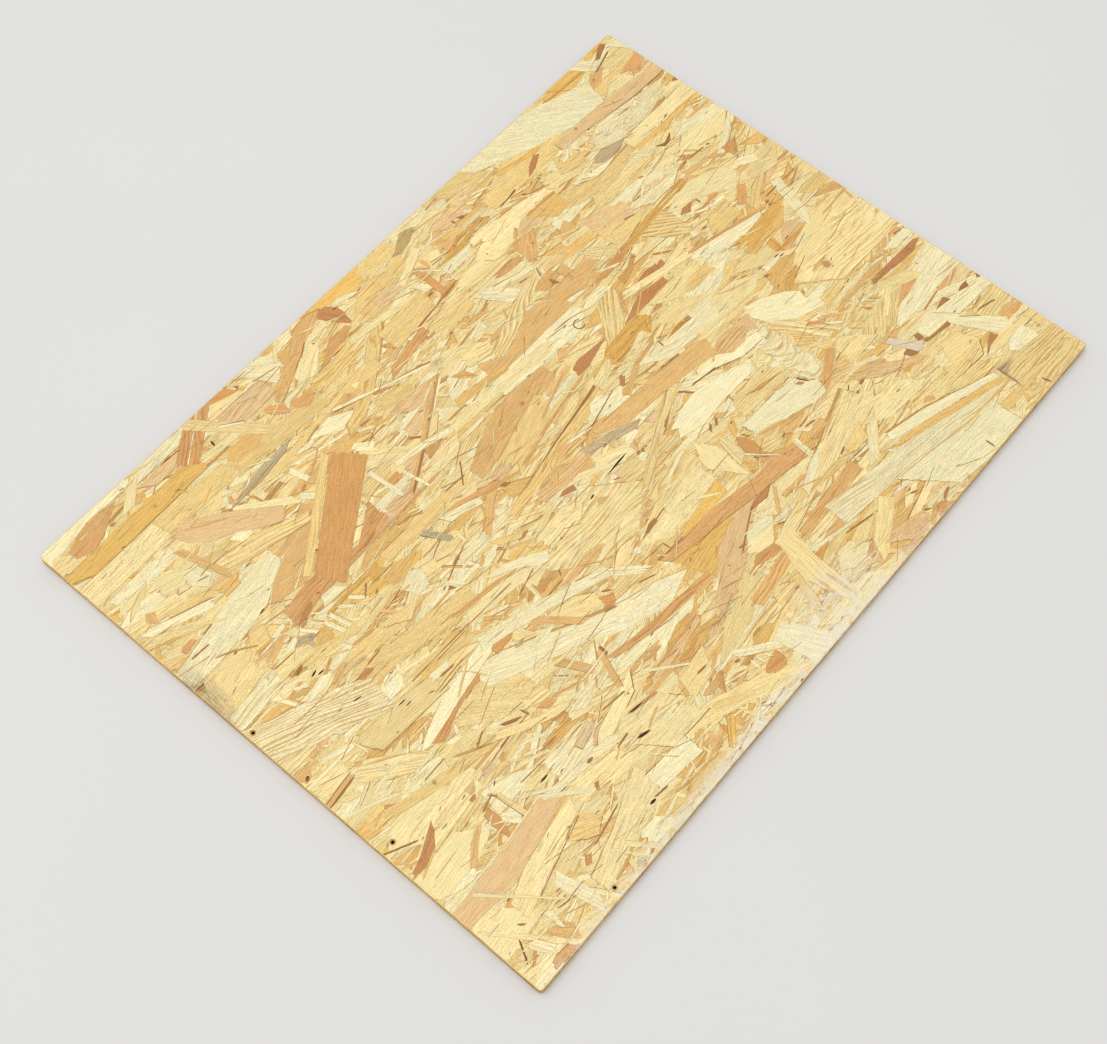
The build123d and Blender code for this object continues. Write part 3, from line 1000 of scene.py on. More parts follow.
def lay_tan(face):
    """The tan and pinkish strands."""
    face.shapes("tan", 0, (-190, 168, -160, 175, -140, 170, -160, 161, -185, 158), (-84, 62, -60, 74,
        -20, 87, 10, 88, 45, 84, 45, 67, 0, 62, -40, 52, -83, 46))
    face.shapes("tan", 0, (-302, 104, -285, 118, -255, 132, -215, 140, -215, 110, -262, 98), (5, 133,
        28, 121, 82, 135, 165, 134, 176, 117, 150, 107, 60, 106, 2, 110), ribs=0.1)
    face.strips("tan", 0, (12, -222, 156, -196, 148), (14, 102, 142, 134, 146), (13, 328, 269, 366, 273))
    face.strips("tan", 0, (10, 298, -12, 338, -3), ribs=0.9)
    face.shapes("pink tan", 0, (196, 168, 220, 158, 244, 146, 196, 142))
    face.strips("pink tan", 0, (12, -296, 277, -243, 278), (14, -95, 130, -45, 139),
        (14, -92, 153, -38, 150), (15, 88, 272, 140, 264), (13, 304, 1, 340, 3))
    face.strips("mauve tan", 0, (13, -8, 251, 38, 252))
    face.shapes("tan", 1, (-382, 178, -376, 185, -370, 180, -375, 169), (-364, -268, -345, -276, -340, -284,
        -346, -297, -354, -287), (-340, 72, -315, 79, -309, 75, -337, 65), (-148, 251, -136, 262, -100, 279,
        -80, 295, -60, 297, -46, 292, -58, 284, -80, 277, -143, 245), (-34, 2, -15, 14, 0, 14, 4, 2),
        (24, 150, 30, 149, 34, 144, 28, 145), (56, 74, 68, 86, 76, 80, 99, 75), (84, 240, 84, 251, 102, 249,
        112, 246), (129, 201, 159, 196, 151, 184, 136, 169, 127, 174), (134, 145, 147, 146, 146, 127,
        136, 127), (169, 168, 176, 175, 186, 179, 190, 170, 186, 164, 172, 162), (343, 42.5, 348, 47.5,
        355, 42.5), (345, 80, 352, 88, 361, 80), (373, 42, 378, 47, 385, 42))
    face.strips("tan", 1, (4.4, -404, -62, -364, -57.5), (11, -400, -29, -380, -27),
        (5, -378, -21, -352, -18), (5, -319, 11, -294, 18), (7, -316, 211, -300, 150),
        (6, -276, -148, -266, -143), (3.4, -236, 26, -214, 30), (3, -188, 186, -138, 170),
        (8, -176, -122, -160, -154), (3, -151, -13, -138, -4), (5, -150, -205, -98, -204),
        (9, -126, 4, -84, 34), (3, -114, -98, -100, -102), (5, -37, -51, -20, -52), (6, 22, 58, 60, 65),
        (4, 24, 172, 60, 166), (6, 30, 140, 60, 142), (4, 58, 258, 60, 243))
    face.shapes("pink tan", 1, (-309, 219, -297, 227, -285, 222, -262, 205, -221, 169, -226, 161, -233, 157,
        -250, 167, -268, 181, -290, 192, -302, 204), (62, -154, 75, -157, 62, -164, 35, -172, 10, -190,
        -20, -205, -44, -207, -44, -196, -20, -182, 0, -164, 30, -155), (252, 248, 281, 249, 402, 238,
        402, 225, 352, 226, 301, 233, 252, 236))
    face.shapes("pink tan", 1, (205, 152, 241, 152, 240, 129, 225, 134, 210, 142), ribs=0.1)
    face.strips("pink tan", 1, (15, -122, 104, -92, 109))
    face.strips("pink tan", 1, (7, -136, -201, -62, -193), (13, -64, -8, 2, -12), ribs=0.9)
    face.strips("mauve tan", 1, (24, -197, 269, -139, 268), ends="cut", ribs=0.9)
    face.shapes("tan", 2, (-362, -189, -356, -193, -344, -182, -327, -171, -331, -169, -346, -176),
        (-122, -79, -73, -76, -61, -81, -70, -85.5, -110, -83), (132, -132, 142, -127.5, 156, -130,
        167, -137, 150, -143, 138, -141))
    face.shapes("tan", 2, (-20, -217, 38, -211, 38, -222, -18, -230), (62, -209, 150, -200.5, 153, -216,
        62, -219), ribs=0.9)
    face.strips("tan", 2, (2.6, -303, 87, -306, 76), (3, -4, -244, 22, -241), (4, 62, -188, 86, -162),
        (6, 72, 1, 106, 17), (4, 80, -176, 112, -177.5), (2, 118, -121, 178, -138),
        (2.6, 125, 103.5, 156, 104.5), (4, 145, -299, 169, -286), (9, 146, -156, 172, -158),
        (3, 150, -50, 160, -55), (4, 164, -101, 180, -104), (5, 246, -216, 258, -222),
        (4, 255, -84, 276, -98), (1.8, 270, -85, 314, -79), (5, 276, -94, 360, -90),
        (12, 284, -152, 297, -146), (5, 316, -284, 312, -300), (2.4, 358, -14, 404, -11.5),
        (2.6, 364, 165, 404, 163.5), (8, 373, -219, 394, -218), (2.4, 397, -12, 394, -26))
    face.strips("tan", 2, (4, -90, 114, -137, 86), (4, -35, 153, -90, 116), ends="cut")
    face.shapes("pink tan", 2, (103, -277, 120, -273, 150, -282, 155, -289, 145, -297, 124, -294),
        (198, -22, 223, -24, 211, -48, 200, -40), (222, -150, 246, -154, 293, -190, 280, -190, 240, -168),
        (245, 62, 251, 69, 263, 66, 268, 59))
    face.shapes("mauve tan", 2, (60, -30, 67, -27, 76, -33, 66, -38))
    face.shapes("mauve tan", 2, (-225, -186, -217, -181.5, -200, -178, -198, -188, -222, -193), ribs=0.1)
    face.strips("mauve tan", 2, (8, -315, -143.5, -303, -143.5), (9, -297, -143.5, -281, -143), ribs=0.9)
    face.shapes("tan", 3, (68, -231, 98, -227, 97, -238), (203, -301, 209, -293, 214, -301))
    face.shapes("tan", 3, (-171, -84, -160, -81, -150, -87, -125, -119, -135, -118, -157, -90, -170, -90),
        turn=-52)
    face.strips("tan", 3, (4, -188, -46, -171, -64), (3, -178, -158, -166, -151),
        (2, -173, -167, -163, -158), (2.4, -172, -224, -150, -217), (12, -154, -274, -138, -272),
        (6, -143, -143, -159, -182), (5, -127, -234, -122, -216), (7, -118, -243, -98, -243),
        (5, -97, -103, -84, -106), (5, -90, -114, -82, -106), (8, -47, -9, -30, 5))
    face.strips("pink tan", 3, (21, 160, -34, 206, -37), ribs=0.9)
    face.shapes("tan", 5, (20, 1, 95, -2.5, 161, -11, 169, -16, 163, -34, 125, -27, 45, -18, 22, -6),
        ribs=0.1)
    face.shapes("pink tan", 5, (-404, -203, -345, -200, -279, -192, -277, -198, -262, -208, -345, -226,
        -404, -222))
    face.strips("tan", 6, (3, 35, -250, 34, -280), (3, 44, -252, 46, -287))


def lay_red(face):
    """The reddish strands."""
    face.shapes("red tan", 1, (-382, 134, -378, 137, -368, 137, -365, 132, -380, 129), (-381, 282,
        -350, 291.5, -316, 289, -350, 269, -364, 266, -379, 271), (-162, 252, -156, 253, -143, 243,
        -147, 232, -160, 243), (-139, 239, -118, 235, -116, 228, -130, 223, -140, 231), (-133, 50, -118, 49,
        -74, 35, -71, 27), (-86, 248, -64, 261, -44, 260, -38, 254, -75, 246), (-22, 143, -8, 139, -3, 124,
        -14, 131), (366, 256, 402, 264, 402, 250, 372, 243, 378, 250))
    face.shapes("red tan", 1, (-298, 76, -296, 92, -262, 98, -205, 88, -168, 112, -168, 86, -200, 79),
        ribs=0.9)
    face.strips("red tan", 1, (3, -281, 24, -255, 20), (1.8, 0, 46, 52, 64), (3, 140, 58, 158, 84),
        (3, 150, 234, 167, 229))
    face.strips("red tan", 1, (9.5, -252, 269, -196, 312), (10, -244, 261, -184, 307), ends="cut", ribs=0.9)
    face.shapes("red tan", 2, (-252, 206, -247, 214, -244, 212, -248, 203), (-220, -138, -206, -139,
        -203, -146, -213, -147), (-43, -130, 25, -134, 80, -144, 132, -148, 131, -168, -36, -140), (42, 252,
        52, 250, 60, 243, 50, 241, 44, 244), (89, 185, 98, 187.5, 119, 187.5, 124, 183, 123, 179,
        98, 180.5), (136, 202, 148, 211, 149, 207, 141, 201), (317, -136.5, 341, -124, 357, -131,
        340, -134.5), (385, 124, 391, 128, 398, 121))
    face.shapes("red tan", 2, (-59, 183, -50, 193, 4, 203, 4, 192), ribs=0.9)
    face.strips("red tan", 2, (1.4, -298, 219, -262, 197), (2.6, -206, 80, -102, 82),
        (4.5, -205, -26, -127, -37), (3, -48, -106, -36, -103), (4.4, 102, 17, 138, 22))
    face.strips("red tan", 2, (3, -50, 27, 62, 48), bend=1.6)
    face.shapes("red brown", 2, (-303, -1, -296, -7, -283, -6, -288, 0), (-243, -226, -239, -220,
        -234.5, -221, -240, -227), (58, 50, 61, 60, 72, 63, 108, 59, 72, 50), (130, 54, 166, 65.5, 198, 61,
        197, 54, 150, 52), (164, 73, 190, 78, 212, 75, 211, 69), (204, 240, 214, 249, 228, 256, 233, 252,
        217, 243), (327, -235, 340, -226, 352, -221, 354, -229, 340, -230))
    face.strips("red brown", 2, (2.4, -338, 274, -332, 272), (4, -319, -151, -311, -150),
        (4.4, -297, 73, -272, 79), (2.6, -200, 165, -191, 168), (5, 170, 12, 179, 11.4),
        (3, 184, -112, 191, -119), (1.2, 225, 134, 238, 130))
    face.shapes("red tan", 3, (312, 58, 331, 73.5, 339, 70, 336, 65, 320, 51.5))
    face.shapes("red tan", 3, (-378, -298, -376, -291, -366, -289, -356, -291, -350, -300), (-303, -91,
        -226, -77, -232, -83.5, -262, -87, -293, -98.5), ribs=0.9)
    face.strips("red tan", 3, (2, -202, -278, -164, -284), (3, -127, -182, -104, -184),
        (2.4, -121, -189, -112, -184), (5, -80, -188, -58, -186), (1.6, -72, -241, -44, -263),
        (8, 197, -137, 238, -115), (3.4, 234, 60, 328, 36), (5, 244, -79, 258, -92))
    face.shapes("red brown", 3, (-352, -136, -356, -144, -366, -154, -382, -161, -392, -160, -396, -155,
        -382, -151), (-130, -11, -126, -10.5, -120, -17.5, -124, -17), (-52, -20, -45, -18, -33, -21,
        -36, -27), (50, -163, 60, -158.5, 85, -159.5, 72, -166), (75, 13, 83, 21, 87, 17, 79, 10), (266, 94,
        273, 97.5, 286, 96, 276, 88.5), (322, -103, 326, -97.5, 392, -100.5, 398, -104, 380, -109))
    face.shapes("red brown", 3, (-56, 287, -48, 292, -41, 290, -34, 280, -33, 273, -36, 258, -39, 258,
        -52, 276), ribs=0.1)
    face.strips("red brown", 3, (3, 29, -48, 34, -43), (3.4, 34, -49, 39, -43), (2, 38, -46, 43, -47),
        (2, 330, -158, 359, -154))
    face.strips("red brown", 3, (2.4, -2, 203.5, 63, 212.5), ends="cut")
    face.shapes("red tan", 4, (-146, -154, -110, -161, -22, -170, -24, -175, -60, -174, -100, -170,
        -140, -161), ribs=0.9)


def lay_brown(face):
    """The brown splinters and marks, among them thin dark lines along strand edges that are partly gaps and
    partly painted shade.
    """
    face.strips("brown", 1, (1.4, -381, 122, -360, 121), (1.2, -358, 131, -344, 133),
        (1.2, -341, 60, -316, 58.5), (1.6, -286, 1, -266, 3), (1.4, -116, 64, -90, 62),
        (1.2, -100, 55, -82, 76), (2, -96, 128, -84, 118), (0.9, 322, 222, 340, 220))
    face.strips("dark brown", 1, (1, -402, 98, -389, 98))
    face.shapes("brown", 2, (-354, 97, -351, 99, -348, 98, -351, 96), (-187, -5, -182, -2, -180, -9),
        (-78, 30, -72, 29, -69, 24, -76, 25), (-30, -103.5, -20, -100, -12, -100, -12, -104, -28, -106),
        (261, -14, 265, -15, 269, -18, 262, -18), (317, 168, 326, 163.5, 340, 168, 333, 161, 323, 160.5),
        (362, 287, 382, 298, 388, 291, 368, 285), (393, 208, 402, 211, 402, 203))
    face.strips("brown", 2, (3.4, -333, 42, -321, 45), (1.2, -326, 173, -314, 169),
        (1.3, -240, 46, -228, 57), (2, -231, 42, -226, 44), (1.2, -190, -2, -145, 14),
        (4.4, -164, 292, -158, 288), (1.4, -98, 266, -82, 277), (1, 0, -1, 68, 16), (1.8, 32, 222, 39, 221),
        (1.4, 100, 164, 112, 161), (3.6, 118, 262, 127, 258), (1.3, 156, 238, 184, 241.5),
        (0.9, 251.5, 248, 251.5, 236), (1, 302, 198.5, 315, 196), (1.2, 339, 42.5, 357, 42.5),
        (1.2, 369, 42, 387, 42))
    face.shapes("dark brown", 2, (349, 183.6, 354, 185.6, 359, 185.5, 354, 183.8))
    face.strips("dark brown", 2, (0.9, -276, 285, -242, 283))
    face.shapes("shade", 2, (-97, 109, -72, 105, -85, 100, -99, 97), (143, -84, 150, -85, 188, -94,
        160, -91.5), (166, 83, 168, 94, 185, 95, 199, 103, 201, 98, 184, 88))
    face.shapes("brown", 3, (123, 144, 125, 143, 128, 134, 122, 137), (277, -172, 287, -169, 291, -180,
        287, -182, 280, -179), (300, -168, 306, -168, 306, -176, 299, -174), (302, -176, 310, -179.5,
        335, -182, 334, -187, 303, -181), (370, -171, 376, -168.5, 386, -169, 382, -175), (395, -175,
        402, -168, 402, -178))
    face.strips("brown", 3, (1.6, -403, -124, -371, -140), (1, -402, -60, -364, -55),
        (1, -402, -64.5, -366, -60), (2, -372, -249, -366, -255), (1.2, -342, -249, -268, -228),
        (1.1, -340, -262, -326, -264), (1.1, -340, -266, -327, -269), (1.4, -336, -109, -304, -108),
        (1.4, -319, -165, -302, -160), (1.4, -306, -157, -300, -166), (1.6, -280, -123, -264, -116),
        (1.3, -280, -255.5, -240, -247), (0.8, -280, -172, -205, -178), (0.8, -272, -40, -198, -40),
        (0.7, -266, -62, -226, -59), (0.7, -264, -65, -232, -62), (0.7, -256, -43, -205, -42.5),
        (2, -253, -55, -235, -57), (3, -252, -125, -234, -134.5), (2, -230, -128, -228, -138),
        (3, -230, -204.5, -222, -204), (1, -225, -186, -222, -194), (1.4, -216, -267, -200, -269),
        (1.4, -203, -215, -186, -213), (1.1, -202, -41, -144, -43), (1.5, -186, -183, -158, -187),
        (3.6, -184, -222, -171, -226.5), (1.2, -150, -57, -121, -49), (3.4, -141, -142, -142, -154),
        (1.6, -139, -77, -112, -76), (2.4, -113, -125, -100, -130), (1.2, -111, -73, -107, -67),
        (2.2, -107, -225, -93, -226), (2, -100, -110, -91, -117), (2.6, -77, -243.5, -70, -245),
        (1.4, -72, -130, -54, -137), (1.3, -43, -130.5, -10, -132.5), (1.1, -36, -106, 2, -100),
        (1.5, -27, -121, -26, -131), (1.5, 12, -183.5, 56, -160), (2, 13, -178, 22, -180),
        (0.9, 35, 0.5, 140, -7.5), (1.6, 55, -190, 63, -194), (1.3, 88, -243, 121, -250.5),
        (2.4, 91, -84, 99, -77), (0.8, 92, 187.6, 119, 188), (1.3, 94, -264, 101, -265),
        (2.6, 100, -84, 107, -77), (1.3, 107, -106, 112, -115), (2.2, 113, 265, 114, 259),
        (1.2, 120, -39, 150, -43), (1.2, 137, 18, 136, 9), (1.6, 148, -144, 164, -143),
        (2, 150, -191.5, 160, -188), (2, 152, -148, 166, -150), (2.4, 152, -283, 159, -287.5),
        (2.2, 157, -260.5, 165, -261), (2, 158, -264, 166, -267), (1.2, 248, 140.4, 260, 140.2),
        (2, 250, -285, 250, -297), (2, 266, 66.5, 274, 65.5), (1.8, 291, 95, 292, 88),
        (1.6, 317, 132, 323, 131.6), (1, 324, 131.4, 348, 129.4), (3, 332, 37, 338, 39),
        (2, 333, 33.6, 338, 33), (2.6, 340, -287, 343, -298), (1.1, 346, -187, 362, -204),
        (1.8, 351, 129.6, 356, 128), (1.7, 364, -197, 386, -203.5))
    face.strips("brown", 3, (2.6, -86, 115, -137, 84), ends="cut")
    face.strips("dark brown", 3, (1.5, -379, -258, -390, -278), (1.8, 189, -109, 196, -122),
        (1.4, 286, -8.6, 292, -9.4), (1.6, 290, -12.4, 296, -13), (1.1, 309, -4, 317, -3),
        (1.6, 351, 276, 382, 285))
    face.strips("shade", 3, (3.2, -173, -202.5, -140, -209))
    face.strips("shade", 3, (2.6, -26, 155, -88, 113), ends="cut")
    face.shapes("brown", 5, (338, -166.5, 355, -163, 358, -170, 345, -167.5))


def lay_grey(face):
    """The grey strands."""
    face.shapes("grey", 1, (-258, 201, -205, 212.5, -165, 213, -180, 206, -215, 201), (-2, -2, 33, -13,
        60, -25, 50, -28, -2, -11), (261, 201, 267, 206, 278, 206, 305, 199, 289, 193, 269, 193))
    face.shapes("grey", 2, (-315, 60, -305, 65.5, -292, 58, -300, 50, -304, 49, -304, 57))
    face.strips("grey", 2, (3.4, -270, -293, -258, -295), (3, -190, -87, -180, -89))
    face.shapes("blue grey", 2, (-163, 51.5, -155, 51.5, -144, 30, -145, 26, -150, 27))
    face.strips("blue grey", 2, (2.4, -236, 203, -176, 210))


def lay_fan(face):
    """Six splinters that stand like the teeth of a comb, each with its shaded side."""
    for start, end in [((-299, 68), (-290, 56)), ((-289, 69), (-282, 58)), ((-281, 62), (-274, 37)),
                       ((-272, 61), (-267, 38)), ((-264, 61), (-250, 48)), ((-250, 60), (-236, 44))]:
        face.strips("cream", 2, (4.2, *start, *end))
        face.strips("honey", 2, (1.2, start[0] + 3.2, start[1], end[0] + 3.2, end[1]))


def lay_curled_fibre(face):
    """A fibre that lies curled in an open ring."""
    for turn in range(60, 320, 26):
        away_x, away_y = math.cos(math.radians(turn)), math.sin(math.radians(turn))
        x, y = 103 + 5.2 * away_x, 88 + 5.2 * away_y
        face.strips("brown", 2, (1.3, x + 2 * away_y, y - 2 * away_x, x - 2 * away_y, y + 2 * away_x))


# The open gaps, as the CAD has them: x, y, length, width, depth and turn
GAPS = [
    (-321, 31, 8.5, 1.8, 1.6, 14), (-316, 27.2, 8, 1.7, 1.6, -3), (-308, 108, 8, 1.4, 0.9, 10),
    (-217.2, 264, 8, 2.2, 1.0, 80), (-313.5, -14, 9.5, 1.4, 0.9, -14), (-291, -46, 9, 1.3, 0.9, -4),
    (-32, -42.8, 7, 1.8, 2.0, 10), (10, -38, 30, 2.0, 2.4, 3), (-263.5, -185, 11, 1.8, 1.2, 2),
    (-165, -204, 19, 1.6, 1.2, -8), (-179, -224.4, 13, 3.0, 0.9, -13), (-219.5, -268.5, 8, 2.8, 1.8, -4),
]


def wounds(rng, face_up):
    """The nail holes, and on the face the open gaps and the torn scar, which lie over every strand."""
    strands = []
    if face_up:
        strands += [pointed_slot(rng, *gap) for gap in GAPS]
        scar = ring(SCAR_PLACE, SCAR_LENGTH / 2, 16, SCAR_WIDTH / SCAR_LENGTH, math.radians(SCAR_TURN))
        strands.append(Strand(rng, scar, "red brown", 20, SCAR_PLACE, sunk=SCAR_DEPTH, kind="pit"))
    for hole in NAIL_HOLES:
        strands.append(Strand(rng, ring(hole, CRUSHED_RIM_RADIUS), "shade", 10, hole, kind="rim"))
        strands.append(Strand(rng, ring(hole, NAIL_HOLE_RADIUS), "gap", 10, hole, kind="hole"))
    return strands


def face_strands():
    """Every strand of the face, from the lowest to the highest."""
    rng = random.Random(41)
    strands = [bed(rng)]
    strands += scattered(rng, 330, (70, 130), (16, 36), DEEP_TONES, 16)
    strands += with_lines(rng, scattered(rng, 800, (55, 135), (5, 24), BROAD_TONES, 14), 0.45)
    strands += with_lines(rng, scattered(rng, 900, (18, 90), (1.2, 5.5), FINE_TONES, 13), 0.3)
    strands += with_lines(rng, clusters(rng, 140, (7, 15)), 0.3)
    strands += with_lines(rng, scattered(rng, 260, (65, 135), (7, 20), BROAD_TONES, 13), 0.45)
    strands += with_lines(rng, clusters(rng, 60, (5, 12)), 0.3)
    face = Face(rng)
    for lay in (lay_cream, lay_straw, lay_gold, lay_tan, lay_red, lay_brown, lay_grey):
        lay(face)
    lay_fan(face)
    lay_curled_fibre(face)
    strands += with_lines(rng, face.in_order(topmost=False), 0.6)
    strands += with_lines(rng, scattered(rng, 380, (7, 50), (0.7, 3.0), FINE_TONES, 22, (0, 0.3)), 0.3)
    strands += scattered(rng, 850, (6, 46), (0.3, 0.8), {"shade": 6, "brown": 3}, 13, sunk=0.2)
    strands += scattered(rng, 190, (2, 10), (0.6, 1.7), {"brown": 4, "dark brown": 1}, 20, sunk=0.25)
    strands += with_lines(rng, face.in_order(topmost=True), 0.5)
    return strands + wounds(rng, True)


def under_strands():
    """Every strand of the underside. Its places are mirrored, as seen from above."""
    rng = random.Random(77)
    strands = [bed(rng)]
    strands += scattered(rng, 480, (70, 130), (18, 36), DEEP_TONES, 20)
    strands += with_lines(rng, scattered(rng, 420, (50, 130), (9, 30), BROAD_TONES, 20), 0.3)
    strands += clusters(rng, 45, (6, 12))
    strands += with_lines(rng, scattered(rng, 170, (60, 125), (9, 26), BROAD_TONES, 18), 0.4)
    return strands + wounds(rng, False)


# The sawn edges: cut strands show there as thin leaves, one packed on another
EDGE_TONES = {
    "pale straw": 4, "straw": 12, "gold straw": 12, "honey": 8, "tan": 9, "pink tan": 3, "red tan": 4,
    "shade": 6, "brown": 3, "cream": 2,
}
EDGE_TOP = THICKNESS - UPPER_ARRIS
EDGE_LAYERS = 15
LONG_LEAVES = (28, 105)
SHORT_LEAVES = (5, 26)
SHORT_SHARE = 0.4
LEAF_THICKNESS = (0.65, 1.25)

# The dark cracks between them, their near-black tone partly painted shade in the crack
CRACKS = 230
CRACK_LENGTHS = (3, 13)
CRACK_WIDTHS = (0.25, 0.6)
CRACK_DEPTH = 0.5


def leaf(rng, tone, run, height, length, thickness, kind="wood", sunk=0.0):
    """One cut strand on a sawn edge: a long thin lens."""
    lean = rng.gauss(0, 0.008)
    outline = []
    for side in (1, -1):
        for share in (-0.5, -0.38, -0.12, 0.14, 0.37):
            fullness = 1 - abs(2 * share) ** 3
            across = -side * thickness / 2 * fullness + rng.gauss(0, 0.03)
            along = side * share * length
            outline.append((run + along, height + along * lean + across))
    return Strand(rng, outline, tone, 0, (run, height), ribs=rng.uniform(0, 0.5), kind=kind, sunk=sunk)


def edge_strands():
    """Every cut strand round the sawn edges, as places along the outline and up from the underside."""
    rng = random.Random(5)
    left, right, low, high = -50, rim.length + 50, -5, THICKNESS + 5
    sheet = [(left, low), (right, low), (right, high), (left, high)]
    strands = [Strand(rng, sheet, "brown", 0, (0, 0), sunk=0.12)]
    leaves = []
    for layer in range(EDGE_LAYERS):
        middle = (layer + 0.5) * THICKNESS / EDGE_LAYERS
        run = rng.uniform(-60, 0)
        while run < rim.length + 40:
            length = rng.uniform(*(SHORT_LEAVES if rng.random() < SHORT_SHARE else LONG_LEAVES))
            run += length * rng.uniform(0.35, 0.5)
            thickness = rng.uniform(*LEAF_THICKNESS)
            tone = drawn(rng, EDGE_TONES)
            leaves.append(leaf(rng, tone, run, middle + rng.gauss(0, 0.12), length, thickness))
            run += length * rng.uniform(0.3, 0.5)
    rng.shuffle(leaves)
    strands += leaves
    for _ in range(CRACKS):
        run, height = rng.uniform(0, rim.length), rng.uniform(1, THICKNESS - 1)
        length, width = rng.uniform(*CRACK_LENGTHS), rng.uniform(*CRACK_WIDTHS)
        strands.append(leaf(rng, "gap", run, height, length, width, kind="pit", sunk=CRACK_DEPTH))
    return strands


# Putting the whole board's surface together

# Where the board is parted into its six blocks
BLOCK_LINES_X = (-LENGTH / 6, LENGTH / 6)
BLOCK_LINE_Y = 0.0

# Runs that differ by less than this are the same place on the outline
SAME_RUN = 1e-4

# The sawn edges' relief
EDGE_SKIN_DEPTH = 0.1
EDGE_STEP_SLOPE = 0.05
EDGE_PIT_LIMIT = 0.6

# What is laid of one face: its flat places, its points, and which are on its outline and its nail holes
Laid = namedtuple("Laid", "flat points on_outline by_hole")


def levels(strands, top, highest, depth):
    """The level of each strand: the order in which it shows, spread over the depth of the skin."""
    shown = np.unique(top)
    order = np.searchsorted(shown, np.arange(len(strands))) / max(len(shown) - 1, 1)
    sunk = np.array([strand.sunk for strand in strands])
    return np.where(of_kind(strands, "pit"), highest - sunk, highest - depth * (1 - order) - sunk)


def add_face(surface, strands, inset, chart, underside=False):
    """Adds the upper face or the underside."""
    reach_x, reach_y = LENGTH / 2 - inset, WIDTH / 2 - inset
    cuts = [((x, -reach_y), (x, reach_y)) for x in BLOCK_LINES_X]
    cuts.append(((-reach_x, BLOCK_LINE_Y), (reach_x, BLOCK_LINE_Y)))
    places, triangles, top = lay_up(strands, rim.inset(inset), cuts)
    wood = ~of_kind(strands, "hole")[top]
    skin = Skin(places, triangles[wood], top[wood], levels(strands, top, SKIN_TOP, SKIN_DEPTH))
    height = relief(skin, strands)
    open_corners = np.zeros(len(height), bool)
    open_corners[skin.rim.ravel()] = True
    near_hole = np.zeros(len(height), bool)
    for hole in NAIL_HOLES:
        near_hole |= np.linalg.norm(skin.flat - hole, axis=1) < CRUSHED_RIM_RADIUS + 0.5
    on_outline = open_corners & ~near_hole
    height[on_outline] = FACE_EDGE_LEVEL
    points = np.column_stack([skin.flat, THICKNESS - height if underside else height])
    add_skin(surface, skin, strands, points, chart, FACE_WOOD, flip=underside)
    return Laid(skin.flat, points, on_outline, open_corners & near_hole)


def edge_cuts():
    """Where along the outline the sawn edges are cut: round the corners and where the blocks meet."""
    runs = list(rim.corner_middles)
    for x in BLOCK_LINES_X:
        runs += rim.run_at(np.array([(x, -WIDTH / 2), (x, WIDTH / 2)])).tolist()
    runs += rim.run_at(np.array([(-LENGTH / 2, BLOCK_LINE_Y), (LENGTH / 2, BLOCK_LINE_Y)])).tolist()
    return runs + [run for run in rim.run[:-1] if run > 0]


def real_steps(run):
    """Which of these sorted runs lie a real step on from the one before."""
    return np.concatenate([[True], np.diff(run) > SAME_RUN])


def add_edges(surface):
    """Adds the sawn edges. Returns the lines of points along their top and their bottom."""
    leaves = edge_strands()
    low, high = LOWER_ARRIS, EDGE_TOP
    trim = np.array([(0.0, low), (rim.length, low), (rim.length, high), (0.0, high)])
    places, triangles, top = lay_up(leaves, trim, [((run, low), (run, high)) for run in edge_cuts()])
    skin = Skin(places, triangles, top, levels(leaves, top, 0.0, EDGE_SKIN_DEPTH), EDGE_STEP_SLOPE)
    open_corners = np.unique(skin.rim)
    depth = np.minimum(-skin.level, EDGE_PIT_LIMIT)
    depth[open_corners] = 0
    points = np.column_stack([rim.place(skin.flat[:, 0], depth), skin.flat[:, 1]])
    # The sawn edges' step walls are painted darker as shade too, by a milder factor
    add_skin(surface, skin, leaves, points, EDGE_CHART, EDGE_WOOD, painted_step_shade=0.72)
    lines = []
    for level in (high, low):
        chosen = open_corners[np.abs(skin.flat[open_corners, 1] - level) < 1e-3]
        chosen = chosen[np.argsort(skin.flat[chosen, 0])]
        chosen = chosen[real_steps(skin.flat[chosen, 0])]
        lines.append((skin.flat[chosen, 0], points[chosen], points[chosen, :2]))
    return lines


def outline_line(laid, inset):
    """The line of points along a face's outline, with the first one again at the end."""
    corners = np.flatnonzero(laid.on_outline)
    run = rim.run_at(laid.flat[corners], inset)
    run = np.where(run > rim.length - SAME_RUN, 0, run)
    order = np.argsort(run)
    order = order[real_steps(run[order])]
    run, corners = np.append(run[order], rim.length), corners[np.append(order, order[0])]
    return run, laid.points[corners], laid.flat[corners]


# The middle of the upper arris: how far in and how far down it lies, and how unevenly it is worn
ARRIS_IN = 0.25
ARRIS_DOWN = 0.3
ARRIS_WEAR = (-0.12, 0.2)
ARRIS_PITCH = 9.0


def worn_arris():
    """The line of points along the middle of the upper arris."""
    run = np.unique(np.concatenate([np.arange(0, rim.length, ARRIS_PITCH), rim.run]))
    wear = np.random.default_rng(23).uniform(*ARRIS_WEAR, len(run))
    wear[-1] = wear[0]
    line = rim.place(run, ARRIS_IN + wear)
    return run, np.column_stack([line, THICKNESS - ARRIS_DOWN - wear * 0.6]), line


